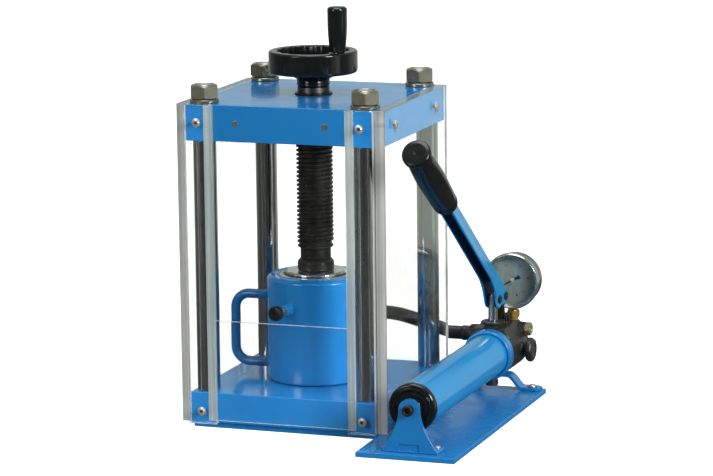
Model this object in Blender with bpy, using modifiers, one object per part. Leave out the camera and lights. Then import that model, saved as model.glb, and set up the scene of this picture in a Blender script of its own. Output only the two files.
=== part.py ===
"""Laboratory tablet press: a guarded four-column frame with a screw, a hydraulic jack and a hand pump.

Metres, +Z up. The origin is the press axis on the underside of the base plate. +X runs to the pump
side and -Y to the operator. Moving pieces have their origin on the axis of their joint.
"""

import math

import bmesh
import bpy
from mathutils import Matrix, Vector

GAP = 0.0003  # clearance that pieces resting on each other keep

# L-shaped base plate: the press stands on its left arm and the pump on its right one
BASE_THICK = 0.006
BASE_LEFT = -0.110
BASE_RIGHT = 0.2265
BASE_STEP_X = 0.113
BASE_STEP_Y = -0.108
BASE_FRONT = -0.192
BASE_BACK = 0.163

# Frame: two square plates on four columns
PLATE_HALF = 0.111
BOTTOM_PLATE_THICK = 0.0356
TOP_PLATE_THICK = 0.0413
DAYLIGHT = 0.2871
COLUMN_OFFSET = 0.0952
COLUMN_RADIUS = 0.0125
STUD_RADIUS = 0.010
STUD_DEPTH = 0.020
WASHER_RADIUS = 0.0165
WASHER_THICK = 0.0040
NUT_ACROSS_FLATS = 0.030
NUT_HEIGHT = 0.016
NUT_TURNS = {"front_left": 8, "front_right": 31, "rear_left": 20, "rear_right": 47}

# Clear guard: side panels, grooved front strips and a door that slides in the grooves
PANEL_THICK = 0.012
STRIP_WIDTH = 0.032
STRIP_THICK = 0.008
GROOVE_DEPTH = 0.009
GROOVE_WIDTH = 0.0036
GROOVE_FLOOR = 0.004
DOOR_THICK = 0.003
DOOR_HEIGHT = 0.115
STRIP_SCREW_X = 0.096
STRIP_SCREW_INSET = 0.0145
STRIP_SCREW_TOP_INSET = 0.020
STRIP_SCREW_LENGTH = 0.0131
STRIP_HOLE_RADIUS = 0.0028

# Lead screw and the pieces that turn with it
SCREW_RADIUS = 0.021
SCREW_NECK_RADIUS = 0.0175
SCREW_NECK_LENGTH = 0.0125
SCREW_NOSE_RADIUS = 0.009
SCREW_NOSE_LENGTH = 0.006
SPINDLE_RADIUS = 0.0182
SPINDLE_LENGTH = 0.0073
SEAT_RADIUS = 0.012
BUSH_RADIUS = 0.028
BUSH_LENGTH = 0.033
PAD_RADIUS = 0.021
PAD_HEIGHT = 0.013
WHEEL_RADIUS = 0.0507
WHEEL_HEIGHT = 0.0407
CRANK_X = 0.035
CRANK_Y = -0.015
CRANK_PIN_RADIUS = 0.004
CRANK_PIN_LENGTH = 0.062
GRIP_LENGTH = 0.052

# Hydraulic jack
JACK_RADIUS = 0.056
JACK_HEIGHT = 0.1214
RAM_RADIUS = 0.035
RAM_LENGTH = 0.100
RAM_STAND = 0.004
GLAND_RADIUS = 0.0415
GLAND_THICK = 0.008
HANDLE_REACH = 0.0998
HANDLE_RADIUS = 0.0055
HANDLE_TOP = 0.0930
HANDLE_BOTTOM = 0.0131
HANDLE_BEND = 0.017
BLEED_ANGLE = 15.0
BLEED_HEIGHT = 0.0874
BLEED_REACH = 0.028
PORT_ANGLE = 70.0
PORT_HEIGHT = 0.0600
PORT_LENGTH = 0.028

# Hand pump, lying along Y on the right arm of the base
PUMP_X = 0.1715
PUMP_Z = 0.054
TUBE_RADIUS = 0.0255
TUBE_BORE = 0.0225
TUBE_FRONT = -0.1617
CAP_RADIUS = 0.028
CAP_FRONT = -0.172
CAP_BOSS_FRONT = -0.1767
RING_RADIUS = 0.0295
RING_FRONT = 0.103
HEAD_RADIUS = 0.0285
HEAD_FRONT = 0.1173
HEAD_BACK = 0.187
HEAD_HALF_WIDTH = 0.024
OUTLET_BOSS = 0.0285
PLUG_BOSS = 0.0265
HEAD_TOP = 0.083

# Pump lever and its linkage
PLUNGER_Y = 0.1305
PLUNGER_RADIUS = 0.0055
PLUNGER_SLOT = 0.0024  # how far the plunger pin can slide outward in the fork
FULCRUM_Y = 0.154
PIN_Z = 0.1165
PIN_RADIUS = 0.003
LINK_FOOT_Y = 0.1600
LINK_FOOT_Z = 0.0900
LEVER_WIDTH = 0.016
LEVER_WALL = 0.002
LEVER_DEPTH = 0.015
LEVER_ROOF = 0.0085
LEVER_RISE = 35.2
GRIP_OVERHANG = 0.020
LEVER_LENGTH = 0.353
LEVER_GRIP_LENGTH = 0.131

# Gauge above the pump head
GAUGE_X = 0.1825
GAUGE_Y = 0.177
GAUGE_Z = 0.1312
GAUGE_FRONT = 0.1655
BEZEL_RADIUS = 0.0335
CASE_RADIUS = 0.0315
CASE_DEPTH = 0.029

# Valves and fittings of the pump head
RELEASE_Y = 0.155
RELEASE_Z = 0.0535
PLUG_Y = 0.176
PLUG_Z = 0.0735
OUTLET_Y = 0.150
OUTLET_Z = 0.0700

# Hose between the jack and the pump head
HOSE_RADIUS = 0.008
PUMP_COUPLER_LENGTH = 0.015

# Feet of the pump
BRACKET_THICK = 0.004
BRACKET_HALF = 0.033
BRACKET_TOP_RADIUS = 0.012
FOOT_THICK = 0.004
FOOT_HALF = 0.054
FOOT_FRONT = 0.142
FOOT_BACK = 0.160

# Heights that follow from the sizes above
PRESS_FLOOR = BASE_THICK + GAP
BOTTOM_TOP = BASE_THICK + BOTTOM_PLATE_THICK
TOP_UNDERSIDE = BOTTOM_TOP + DAYLIGHT
PRESS_TOP = TOP_UNDERSIDE + TOP_PLATE_THICK
STRIP_FRONT = -PLATE_HALF - GAP - STRIP_THICK
GROOVE_Y = STRIP_FRONT + STRIP_THICK / 2
STRIP_INNER = PLATE_HALF - STRIP_WIDTH
JACK_FLOOR = BOTTOM_TOP + GAP
JACK_TOP = JACK_FLOOR + JACK_HEIGHT
RAM_TOP = JACK_TOP + RAM_STAND
PAD_TOP = RAM_TOP + GAP + PAD_HEIGHT
SCREW_FOOT = PAD_TOP + GAP
WHEEL_FLOOR = PRESS_TOP + 0.0093
STRIP_SCREW_HEIGHTS = {
    "bottom": PRESS_FLOOR + STRIP_SCREW_INSET,
    "top": PRESS_TOP - STRIP_SCREW_TOP_INSET,
}
CORNERS = {
    "front_left": (-COLUMN_OFFSET, -COLUMN_OFFSET),
    "front_right": (COLUMN_OFFSET, -COLUMN_OFFSET),
    "rear_left": (-COLUMN_OFFSET, COLUMN_OFFSET),
    "rear_right": (COLUMN_OFFSET, COLUMN_OFFSET),
}


# Scene, materials and shape helpers


def clear_scene():
    for old in list(bpy.data.objects):
        bpy.data.objects.remove(old, do_unlink=True)


def new_collection(name, hidden=False):
    made = bpy.data.collections.new(name)
    made.hide_render = hidden
    bpy.context.scene.collection.children.link(made)
    return made


def new_material(name, colour, roughness, metallic=0.0, transmission=0.0):
    made = bpy.data.materials.new(name)
    made.use_nodes = True
    shader = made.node_tree.nodes["Principled BSDF"]
    shader.inputs["Base Color"].default_value = (*colour, 1.0)
    shader.inputs["Roughness"].default_value = roughness
    shader.inputs["Metallic"].default_value = metallic
    shader.inputs["Transmission Weight"].default_value = transmission
    made.diffuse_color = (*colour, 1.0)
    return made


def facing(direction):
    """The rotation that turns local Z to a direction."""
    return Vector((0.0, 0.0, 1.0)).rotation_difference(Vector(direction)).to_euler()


def add(name, data, material, location=(0.0, 0.0, 0.0), direction=(0.0, 0.0, 1.0)):
    """Links an object to the press, or to the cutters when it has no material."""
    made = bpy.data.objects.new(name, data)
    made.location = location
    made.rotation_euler = facing(direction)
    if material is None:
        made.display_type = "WIRE"
        made.hide_render = True
        CUTTERS.objects.link(made)
    else:
        data.materials.append(material)
        PRESS.objects.link(made)
    return made


def bevel(piece, width, segments=1, angle=40.0):
    step = piece.modifiers.new("Edge", "BEVEL")
    step.width = width
    step.segments = segments
    step.limit_method = "ANGLE"
    step.angle_limit = math.radians(angle)
    return piece


def combine(piece, other, operation="DIFFERENCE"):
    step = piece.modifiers.new(operation.title(), "BOOLEAN")
    step.operation = operation
    step.solver = "EXACT"
    step.object = other
    return piece


def box(name, material, low, high, edge=0.0):
    """A block between two corners, with its origin at its centre."""
    low = Vector(low)
    high = Vector(high)
    mesh = bpy.data.meshes.new(name)
    form = bmesh.new()
    bmesh.ops.create_cube(form, size=1.0, matrix=Matrix.Diagonal((*(high - low), 1.0)))
    form.to_mesh(mesh)
    form.free()
    made = add(name, mesh, material, (low + high) / 2)
    return bevel(made, edge) if edge else made


def rod(name, material, radius, start, end, sides=24, edge=0.0):
    """A round or, with few sides, a many-sided bar between two points, with its origin at the first."""
    start = Vector(start)
    length = (Vector(end) - start).length
    mesh = bpy.data.meshes.new(name)
    form = bmesh.new()
    bmesh.ops.create_cone(
        form,
        cap_ends=True,
        segments=sides,
        radius1=radius,
        radius2=radius,
        depth=length,
        matrix=Matrix.Translation((0.0, 0.0, length / 2)),
    )
    form.to_mesh(mesh)
    form.free()
    made = add(name, mesh, material, start, Vector(end) - start)
    return bevel(made, edge) if edge else made


def turned(name, material, profile, sides, location, direction=(0.0, 0.0, 1.0), ring=False):
    """A profile of (radius, height) points turned about local Z. It runs down its outer side."""
    mesh = bpy.data.meshes.new(name)
    count = len(profile)
    edges = [(index, index + 1) for index in range(count - 1)]
    if ring:
        edges.append((count - 1, 0))
    mesh.from_pydata([(radius, 0.0, height) for radius, height in profile], edges, [])
    made = add(name, mesh, material, location, direction)
    step = made.modifiers.new("Turn", "SCREW")
    step.axis = "Z"
    step.steps = sides
    step.render_steps = sides
    step.use_merge_vertices = True
    step.merge_threshold = 0.00001
    step.use_smooth_shade = True
    return made


def tube(name, material, points, radius, resolution=3):
    """A round bar that follows a line of points."""
    curve = bpy.data.curves.new(name, "CURVE")
    curve.dimensions = "3D"
    curve.bevel_depth = radius
    curve.bevel_resolution = resolution
    curve.use_fill_caps = True
    spline = curve.splines.new("POLY")
    spline.points.add(len(points) - 1)
    for point, place in zip(spline.points, points):
        point.co = (*place, 1.0)
    return add(name, curve, material)


def sheet(name, material, outline, thick, location, direction=(0.0, 0.0, 1.0)):
    """A flat outline in local X and Y, given its thickness along local Z and made a closed mesh."""
    curve = bpy.data.curves.new(name + "_outline", "CURVE")
    curve.dimensions = "2D"
    curve.fill_mode = "BOTH"
    curve.extrude = thick / 2
    spline = curve.splines.new("POLY")
    spline.points.add(len(outline) - 1)
    for point, place in zip(spline.points, outline):
        point.co = (*place, 0.0, 1.0)
    spline.use_cyclic_u = True
    drawn = bpy.data.objects.new(name + "_outline", curve)
    CUTTERS.objects.link(drawn)
    graph = bpy.context.evaluated_depsgraph_get()
    mesh = bpy.data.meshes.new_from_object(drawn.evaluated_get(graph))
    bpy.data.objects.remove(drawn)
    form = bmesh.new()
    form.from_mesh(mesh)
    bmesh.ops.remove_doubles(form, verts=form.verts, dist=0.00001)
    form.to_mesh(mesh)
    form.free()
    return add(name, mesh, material, location, direction)


def side_sheet(name, material, outline, thick, centre_x):
    """A sheet whose outline is given in world Y and Z and whose thickness runs along X."""
    made = sheet(name, material, outline, thick, (centre_x, 0.0, 0.0))
    made.rotation_euler = (math.radians(90.0), 0.0, math.radians(90.0))
    return made


def arc(centre, radius, start, end, steps):
    """Points on an arc about a flat centre, between two angles in degrees."""
    angles = [math.radians(start + (end - start) * step / steps) for step in range(steps + 1)]
    return [(centre[0] + radius * math.cos(a), centre[1] + radius * math.sin(a)) for a in angles]


def smooth_route(stops, spacing):
    """Evenly spaced points on a smooth curve through the stops of a route."""
    stops = [Vector(stop) for stop in stops]
    ends = [2 * stops[0] - stops[1], *stops, 2 * stops[-1] - stops[-2]]
    fine = []
    for a, b, c, d in zip(ends, ends[1:], ends[2:], ends[3:]):
        for step in range(24):
            t = step / 24
            bend = (2 * a - 5 * b + 4 * c - d) * t * t + (3 * b - a - 3 * c + d) * t**3
            fine.append(0.5 * (2 * b + (c - a) * t + bend))
    fine.append(stops[-1])
    length = sum((q - p).length for p, q in zip(fine, fine[1:]))
    count = round(length / spacing)
    points = [fine[0]]
    walked = 0.0
    for p, q in zip(fine, fine[1:]):
        walked += (q - p).length
        if walked >= length * len(points) / count and len(points) < count:
            points.append(q)
    points.append(fine[-1])
    return points


# Base and frame


def build_base():
    outline = [
        (BASE_LEFT, BASE_STEP_Y),
        (BASE_STEP_X, BASE_STEP_Y),
        (BASE_STEP_X, BASE_FRONT),
        (BASE_RIGHT, BASE_FRONT),
        (BASE_RIGHT, BASE_BACK),
        (BASE_LEFT, BASE_BACK),
    ]
    sheet("base_plate", BLUE, outline, BASE_THICK, (0.0, 0.0, BASE_THICK / 2))


def frame_plate(name, floor, top):
    """One of the two square plates, before its holes."""
    low = (-PLATE_HALF, -PLATE_HALF, floor)
    return box(name, BLUE, low, (PLATE_HALF, PLATE_HALF, top), edge=0.0008)


def drill(plate, name, radius, start, end, sides=20):
    combine(plate, rod(name, None, radius, start, end, sides))


def build_plates():
    bottom = frame_plate("bottom_plate", PRESS_FLOOR, BOTTOM_TOP)
    top = frame_plate("top_plate", TOP_UNDERSIDE, PRESS_TOP)
    hole = STUD_RADIUS + 2 * GAP
    for corner, (x, y) in CORNERS.items():
        deep = BOTTOM_TOP - STUD_DEPTH - 0.001
        drill(bottom, "bottom_hole_" + corner, hole, (x, y, deep), (x, y, BOTTOM_TOP + 0.01))
        low = (x, y, TOP_UNDERSIDE - 0.01)
        drill(top, "top_hole_" + corner, hole, low, (x, y, PRESS_TOP + 0.01))
    seat_top = TOP_UNDERSIDE + BUSH_LENGTH + GAP
    low = (0.0, 0.0, TOP_UNDERSIDE - 0.01)
    drill(top, "bush_seat_hole", BUSH_RADIUS + GAP, low, (0.0, 0.0, seat_top), 32)
    drill(top, "screw_hole", SCREW_RADIUS + 0.0006, low, (0.0, 0.0, PRESS_TOP + 0.01), 32)
    for side, sign in (("left", -1), ("right", 1)):
        for plate, level in ((bottom, "bottom"), (top, "top")):
            z = STRIP_SCREW_HEIGHTS[level]
            inner = (sign * STRIP_SCREW_X, STRIP_FRONT + STRIP_SCREW_LENGTH + GAP, z)
            outer = (sign * STRIP_SCREW_X, -PLATE_HALF - 0.01, z)
            drill(plate, "screw_hole_" + side + "_" + level, STRIP_HOLE_RADIUS, outer, inner, 12)


def build_columns():
    body = DAYLIGHT - GAP
    stud_end = DAYLIGHT + TOP_PLATE_THICK + WASHER_THICK + NUT_HEIGHT + 0.0015
    profile = [
        (0.0, stud_end),
        (STUD_RADIUS - 0.001, stud_end),
        (STUD_RADIUS, stud_end - 0.001),
        (STUD_RADIUS, body),
        (COLUMN_RADIUS, body),
        (COLUMN_RADIUS, GAP),
        (STUD_RADIUS, GAP),
        (STUD_RADIUS, -STUD_DEPTH),
        (0.0, -STUD_DEPTH),
    ]
    for corner, (x, y) in CORNERS.items():
        turned("column_" + corner, CHROME, profile, 24, (x, y, BOTTOM_TOP))


def build_nuts():
    bore = STUD_RADIUS + GAP
    washer = [
        (WASHER_RADIUS, WASHER_THICK),
        (WASHER_RADIUS, GAP),
        (bore, GAP),
        (bore, WASHER_THICK),
    ]
    corner_radius = NUT_ACROSS_FLATS / math.sqrt(3)
    face_radius = NUT_ACROSS_FLATS * 0.48
    chamfer = 0.0018
    floor = WASHER_THICK + GAP
    roof = floor + NUT_HEIGHT
    barrel = [
        (face_radius, roof),
        (corner_radius, roof - chamfer),
        (corner_radius, floor + chamfer),
        (face_radius, floor),
        (bore, floor),
        (bore, roof),
    ]
    for corner, (x, y) in CORNERS.items():
        place = (x, y, PRESS_TOP)
        ring = turned("washer_" + corner, NICKEL, washer, 20, place, ring=True)
        low = (x + STUD_RADIUS - 0.002, y - 0.0009, PRESS_TOP - 0.002)
        high = (x + WASHER_RADIUS + 0.003, y + 0.0009, PRESS_TOP + WASHER_THICK + 0.002)
        combine(ring, box("washer_split_" + corner, None, low, high))
        nut = turned("nut_" + corner, NICKEL, barrel, 18, place, ring=True)
        start = (x, y, PRESS_TOP)
        end = (x, y, PRESS_TOP + roof + 0.004)
        prism = rod("nut_prism_" + corner, None, corner_radius, start, end, 6)
        prism.rotation_euler = (0.0, 0.0, math.radians(NUT_TURNS[corner]))
        combine(nut, prism, "INTERSECT")


# Clear guard


def build_guard():
    for side, sign in (("left", -1), ("right", 1)):
        x = sorted((sign * (PLATE_HALF + GAP), sign * (PLATE_HALF + PANEL_THICK)))
        low = (x[0], -PLATE_HALF, PRESS_FLOOR)
        box("side_panel_" + side, ACRYLIC, low, (x[1], PLATE_HALF, PRESS_TOP), edge=0.0004)
        build_strip(side, sign)
    inner = STRIP_INNER + GROOVE_DEPTH - 0.0007
    floor = PRESS_FLOOR + GROOVE_FLOOR + GAP
    low = (-inner, GROOVE_Y - DOOR_THICK / 2, floor)
    high = (inner, GROOVE_Y + DOOR_THICK / 2, floor + DOOR_HEIGHT)
    box("front_door", ACRYLIC, low, high, edge=0.0003)


def build_strip(side, sign):
    x = sorted((sign * STRIP_INNER, sign * PLATE_HALF))
    low = (x[0], STRIP_FRONT, PRESS_FLOOR)
    high = (x[1], STRIP_FRONT + STRIP_THICK, PRESS_TOP)
    strip = box("front_strip_" + side, ACRYLIC, low, high, edge=0.0004)
    x = sorted((sign * (STRIP_INNER - 0.01), sign * (STRIP_INNER + GROOVE_DEPTH)))
    low = (x[0], GROOVE_Y - GROOVE_WIDTH / 2, PRESS_FLOOR + GROOVE_FLOOR)
    high = (x[1], GROOVE_Y + GROOVE_WIDTH / 2, PRESS_TOP + 0.01)
    combine(strip, box("groove_" + side, None, low, high))
    shank = STRIP_HOLE_RADIUS - GAP
    for level, z in STRIP_SCREW_HEIGHTS.items():
        place = (sign * STRIP_SCREW_X, STRIP_FRONT, z)
        hole = "strip_hole_" + side + "_" + level
        back = (place[0], -PLATE_HALF + 0.01, z)
        drill(strip, hole, STRIP_HOLE_RADIUS, (place[0], STRIP_FRONT - 0.01, z), back, 12)
        head = [
            (0.0, -STRIP_SCREW_LENGTH),
            (shank, -STRIP_SCREW_LENGTH),
            (shank, GAP),
            (0.005, GAP),
            (0.0046, 0.0018),
            (0.0032, 0.0029),
            (0.0, 0.0031),
        ]
        name = "strip_screw_" + side + "_" + level
        turned(name, NICKEL, list(reversed(head)), 16, place, (0.0, -1.0, 0.0))


# Lead screw, pad and handwheel


def build_bush():
    bore = SCREW_RADIUS + GAP
    profile = [
        (BUSH_RADIUS, BUSH_LENGTH),
        (BUSH_RADIUS, 0.0),
        (bore, 0.0),
        (bore, BUSH_LENGTH),
    ]
    turned("screw_bush", BRASS, profile, 32, (0.0, 0.0, TOP_UNDERSIDE), ring=True)


def build_screw():
    neck_top = SCREW_FOOT + SCREW_NECK_LENGTH
    thread_top = PRESS_TOP + 0.002
    spindle_top = WHEEL_FLOOR - GAP
    seat_top = WHEEL_FLOOR + 0.026
    profile = [
        (0.0, seat_top),
        (SEAT_RADIUS - 0.001, seat_top),
        (SEAT_RADIUS, seat_top - 0.001),
        (SEAT_RADIUS, spindle_top),
        (SPINDLE_RADIUS, spindle_top),
        (SPINDLE_RADIUS, thread_top),
        (SCREW_RADIUS, thread_top),
        (SCREW_RADIUS, neck_top + 0.002),
        (SCREW_NECK_RADIUS, neck_top),
        (SCREW_NECK_RADIUS, SCREW_FOOT),
        (SCREW_NOSE_RADIUS, SCREW_FOOT),
        (SCREW_NOSE_RADIUS, SCREW_FOOT - SCREW_NOSE_LENGTH),
        (0.0, SCREW_FOOT - SCREW_NOSE_LENGTH),
    ]
    turned("lead_screw", BLACK_STEEL, profile, 28, (0.0, 0.0, 0.0))


def build_pad():
    foot = RAM_TOP + GAP
    socket = SCREW_NOSE_RADIUS + GAP
    socket_floor = SCREW_FOOT - SCREW_NOSE_LENGTH - GAP
    profile = [
        (socket, PAD_TOP),
        (PAD_RADIUS - 0.003, PAD_TOP),
        (PAD_RADIUS, PAD_TOP - 0.003),
        (PAD_RADIUS, foot + 0.001),
        (PAD_RADIUS - 0.001, foot),
        (0.0, foot),
    ]
    pad = [(0.0, socket_floor), (socket, socket_floor), *profile]
    turned("pressure_pad", BLACK_STEEL, pad, 28, (0.0, 0.0, 0.0))


def build_handwheel():
    bore = SEAT_RADIUS + GAP
    rim = WHEEL_RADIUS
    roof = WHEEL_HEIGHT
    profile = [
        (bore, 0.0265),
        (0.0160, 0.0265),
        (0.0175, 0.0235),
        (0.0340, 0.0225),
        (0.0375, 0.0260),
        (0.0395, roof),
        (rim - 0.0020, roof),
        (rim, roof - 0.0025),
        (rim, 0.0200),
        (rim - 0.0040, 0.0160),
        (0.0300, 0.0140),
        (0.0215, 0.0105),
        (0.0178, 0.0075),
        (0.0187, 0.0),
        (bore, 0.0),
    ]
    wheel = turned("handwheel", BLACK_PLASTIC, profile, 40, (0.0, 0.0, WHEEL_FLOOR), ring=True)
    boss_low = WHEEL_FLOOR + 0.0185
    boss_top = WHEEL_FLOOR + roof - GAP
    start = (CRANK_X, CRANK_Y, boss_low)
    boss = rod("crank_boss", None, 0.0105, start, (CRANK_X, CRANK_Y, boss_top), 16)
    combine(wheel, boss, "UNION")
    low = (CRANK_X, CRANK_Y, WHEEL_FLOOR)
    high = (CRANK_X, CRANK_Y, WHEEL_FLOOR + 0.06)
    drill(wheel, "crank_hole", CRANK_PIN_RADIUS + GAP, low, high, 12)


def build_crank():
    floor = WHEEL_FLOOR + 0.0175
    pin = [
        (0.0, CRANK_PIN_LENGTH),
        (CRANK_PIN_RADIUS, CRANK_PIN_LENGTH),
        (CRANK_PIN_RADIUS, 0.0),
        (0.0, 0.0),
    ]
    turned("crank_pin", STEEL, pin, 16, (CRANK_X, CRANK_Y, floor))
    foot = WHEEL_FLOOR + WHEEL_HEIGHT + GAP
    bore = CRANK_PIN_RADIUS + GAP
    bore_top = floor + CRANK_PIN_LENGTH + GAP - foot
    grip = [
        (0.0, bore_top),
        (bore, bore_top),
        (bore, 0.0),
        (0.0085, 0.0),
        (0.0092, 0.0020),
        (0.0106, 0.0180),
        (0.0111, 0.0300),
        (0.0110, 0.0420),
        (0.0113, 0.0480),
        (0.0104, GRIP_LENGTH - 0.0010),
        (0.0070, GRIP_LENGTH),
        (0.0, GRIP_LENGTH),
    ]
    turned("crank_grip", BLACK_PLASTIC, list(reversed(grip)), 20, (CRANK_X, CRANK_Y, foot))


# Hydraulic jack


def build_jack():
    bore = RAM_RADIUS + GAP
    bore_floor = RAM_STAND + JACK_HEIGHT - RAM_LENGTH - GAP
    seat = JACK_HEIGHT - GLAND_THICK - GAP
    mouth = GLAND_RADIUS + GAP
    profile = [
        (0.0, bore_floor),
        (bore, bore_floor),
        (bore, seat),
        (mouth, seat),
        (mouth, JACK_HEIGHT),
        (JACK_RADIUS - 0.002, JACK_HEIGHT),
        (JACK_RADIUS, JACK_HEIGHT - 0.002),
        (JACK_RADIUS, 0.002),
        (JACK_RADIUS - 0.002, 0.0),
        (0.0, 0.0),
    ]
    turned("jack_body", BLUE, profile, 40, (0.0, 0.0, JACK_FLOOR))
    gland = [
        (GLAND_RADIUS, JACK_HEIGHT),
        (GLAND_RADIUS, seat + GAP),
        (bore, seat + GAP),
        (bore, JACK_HEIGHT),
    ]
    turned("gland_ring", BLUE, gland, 32, (0.0, 0.0, JACK_FLOOR), ring=True)
    ram = [
        (0.0, RAM_LENGTH),
        (RAM_RADIUS - 0.0015, RAM_LENGTH),
        (RAM_RADIUS, RAM_LENGTH - 0.0015),
        (RAM_RADIUS, 0.0),
        (0.0, 0.0),
    ]
    turned("ram", CHROME, ram, 32, (0.0, 0.0, RAM_TOP - RAM_LENGTH))


def build_carry_handle():
    low = JACK_FLOOR + HANDLE_BOTTOM
    high = JACK_FLOOR + HANDLE_TOP
    near = -JACK_RADIUS - GAP
    far = -HANDLE_REACH + HANDLE_BEND
    upper = arc((far, high - HANDLE_BEND), HANDLE_BEND, 90, 180, 5)
    lower = arc((far, low + HANDLE_BEND), HANDLE_BEND, 180, 270, 5)
    line = [(near, high), *upper, *lower, (near, low)]
    tube("carry_handle", BLUE, [(x, 0.0, z) for x, z in line], HANDLE_RADIUS)


def build_bleed_screw():
    angle = math.radians(BLEED_ANGLE)
    outward = (-math.sin(angle), -math.cos(angle), 0.0)
    start = JACK_RADIUS + GAP
    place = (outward[0] * start, outward[1] * start, JACK_FLOOR + BLEED_HEIGHT)
    profile = [
        (0.0, BLEED_REACH),
        (0.0078, BLEED_REACH),
        (0.0086, BLEED_REACH - 0.0010),
        (0.0086, BLEED_REACH - 0.0080),
        (0.0078, BLEED_REACH - 0.0090),
        (0.0030, BLEED_REACH - 0.0090),
        (0.0030, 0.0),
        (0.0, 0.0),
    ]
    turned("bleed_screw", BLACK_PLASTIC, profile, 20, place, outward)


def coupler(name, place, outward, length):
    """A hose end: a hexagon-sized collar and a crimped ferrule."""
    profile = [
        (0.0, length),
        (0.0095, length),
        (0.0105, length - 0.0010),
        (0.0105, 0.0095),
        (0.0085, 0.0090),
        (0.0085, 0.0080),
        (0.0115, 0.0075),
        (0.0115, 0.0),
        (0.0, 0.0),
    ]
    turned(name, STEEL, profile, 20, place, outward)


def port_direction():
    angle = math.radians(PORT_ANGLE)
    return Vector((math.cos(angle), math.sin(angle), 0.0))


def build_couplers():
    outward = port_direction()
    place = outward * (JACK_RADIUS + GAP) + Vector((0.0, 0.0, JACK_FLOOR + PORT_HEIGHT))
    coupler("jack_coupler", place, outward, PORT_LENGTH)
    place = (PUMP_X - OUTLET_BOSS - GAP, OUTLET_Y, OUTLET_Z)
    coupler("pump_coupler", place, (-1.0, 0.0, 0.0), PUMP_COUPLER_LENGTH)


def build_hose():
    """The hose leaves both couplers straight, and bows round the back of the rear right column."""
    outward = port_direction()
    start = outward * (JACK_RADIUS + PORT_LENGTH + 2 * GAP)
    start.z = JACK_FLOOR + PORT_HEIGHT
    end = Vector((PUMP_X - OUTLET_BOSS - PUMP_COUPLER_LENGTH - 2 * GAP, OUTLET_Y, OUTLET_Z))
    stops = [
        start,
        start + outward * 0.010,
        start + outward * 0.020,
        (0.0395, 0.1086, 0.0985),
        (0.0506, 0.1278, 0.0925),
        (0.0676, 0.1421, 0.0840),
        (0.0830, 0.1482, 0.0775),
        (0.0990, 0.1500, 0.0725),
        end - Vector((0.016, 0.0, 0.0)),
        end - Vector((0.008, 0.0, 0.0)),
        end,
    ]
    tube("hose", RUBBER, smooth_route(stops, 0.008), HOSE_RADIUS, 3)


# Hand pump


def build_reservoir():
    tube_end = HEAD_FRONT - 2 * GAP
    profile = [
        (TUBE_RADIUS, tube_end - TUBE_FRONT),
        (TUBE_RADIUS, 0.0),
        (TUBE_BORE, 0.0),
        (TUBE_BORE, tube_end - TUBE_FRONT),
    ]
    place = (PUMP_X, TUBE_FRONT, PUMP_Z)
    turned("reservoir_tube", BLUE, profile, 32, place, (0.0, 1.0, 0.0), ring=True)
    flange = TUBE_FRONT - GAP - CAP_FRONT
    bore = 0.0043
    cap = [
        (CAP_RADIUS, flange),
        (CAP_RADIUS, 0.0015),
        (CAP_RADIUS - 0.0015, 0.0),
        (0.0200, 0.0),
        (0.0190, 0.0020),
        (0.0095, 0.0020),
        (0.0085, 0.0),
        (0.0080, CAP_BOSS_FRONT - CAP_FRONT),
        (bore, CAP_BOSS_FRONT - CAP_FRONT),
        (bore, flange + 0.0080),
        (TUBE_BORE - GAP, flange + 0.0080),
        (TUBE_BORE - GAP, flange),
    ]
    place = (PUMP_X, CAP_FRONT, PUMP_Z)
    turned("reservoir_cap", BLACK_PLASTIC, cap, 28, place, (0.0, 1.0, 0.0), ring=True)
    depth = HEAD_FRONT - GAP - RING_FRONT
    bore = TUBE_RADIUS + GAP
    ring = [
        (RING_RADIUS, depth),
        (RING_RADIUS, 0.0015),
        (RING_RADIUS - 0.0015, 0.0),
        (bore, 0.0),
        (bore, depth),
    ]
    place = (PUMP_X, RING_FRONT, PUMP_Z)
    turned("reservoir_ring", BLUE, ring, 32, place, (0.0, 1.0, 0.0), ring=True)


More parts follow.
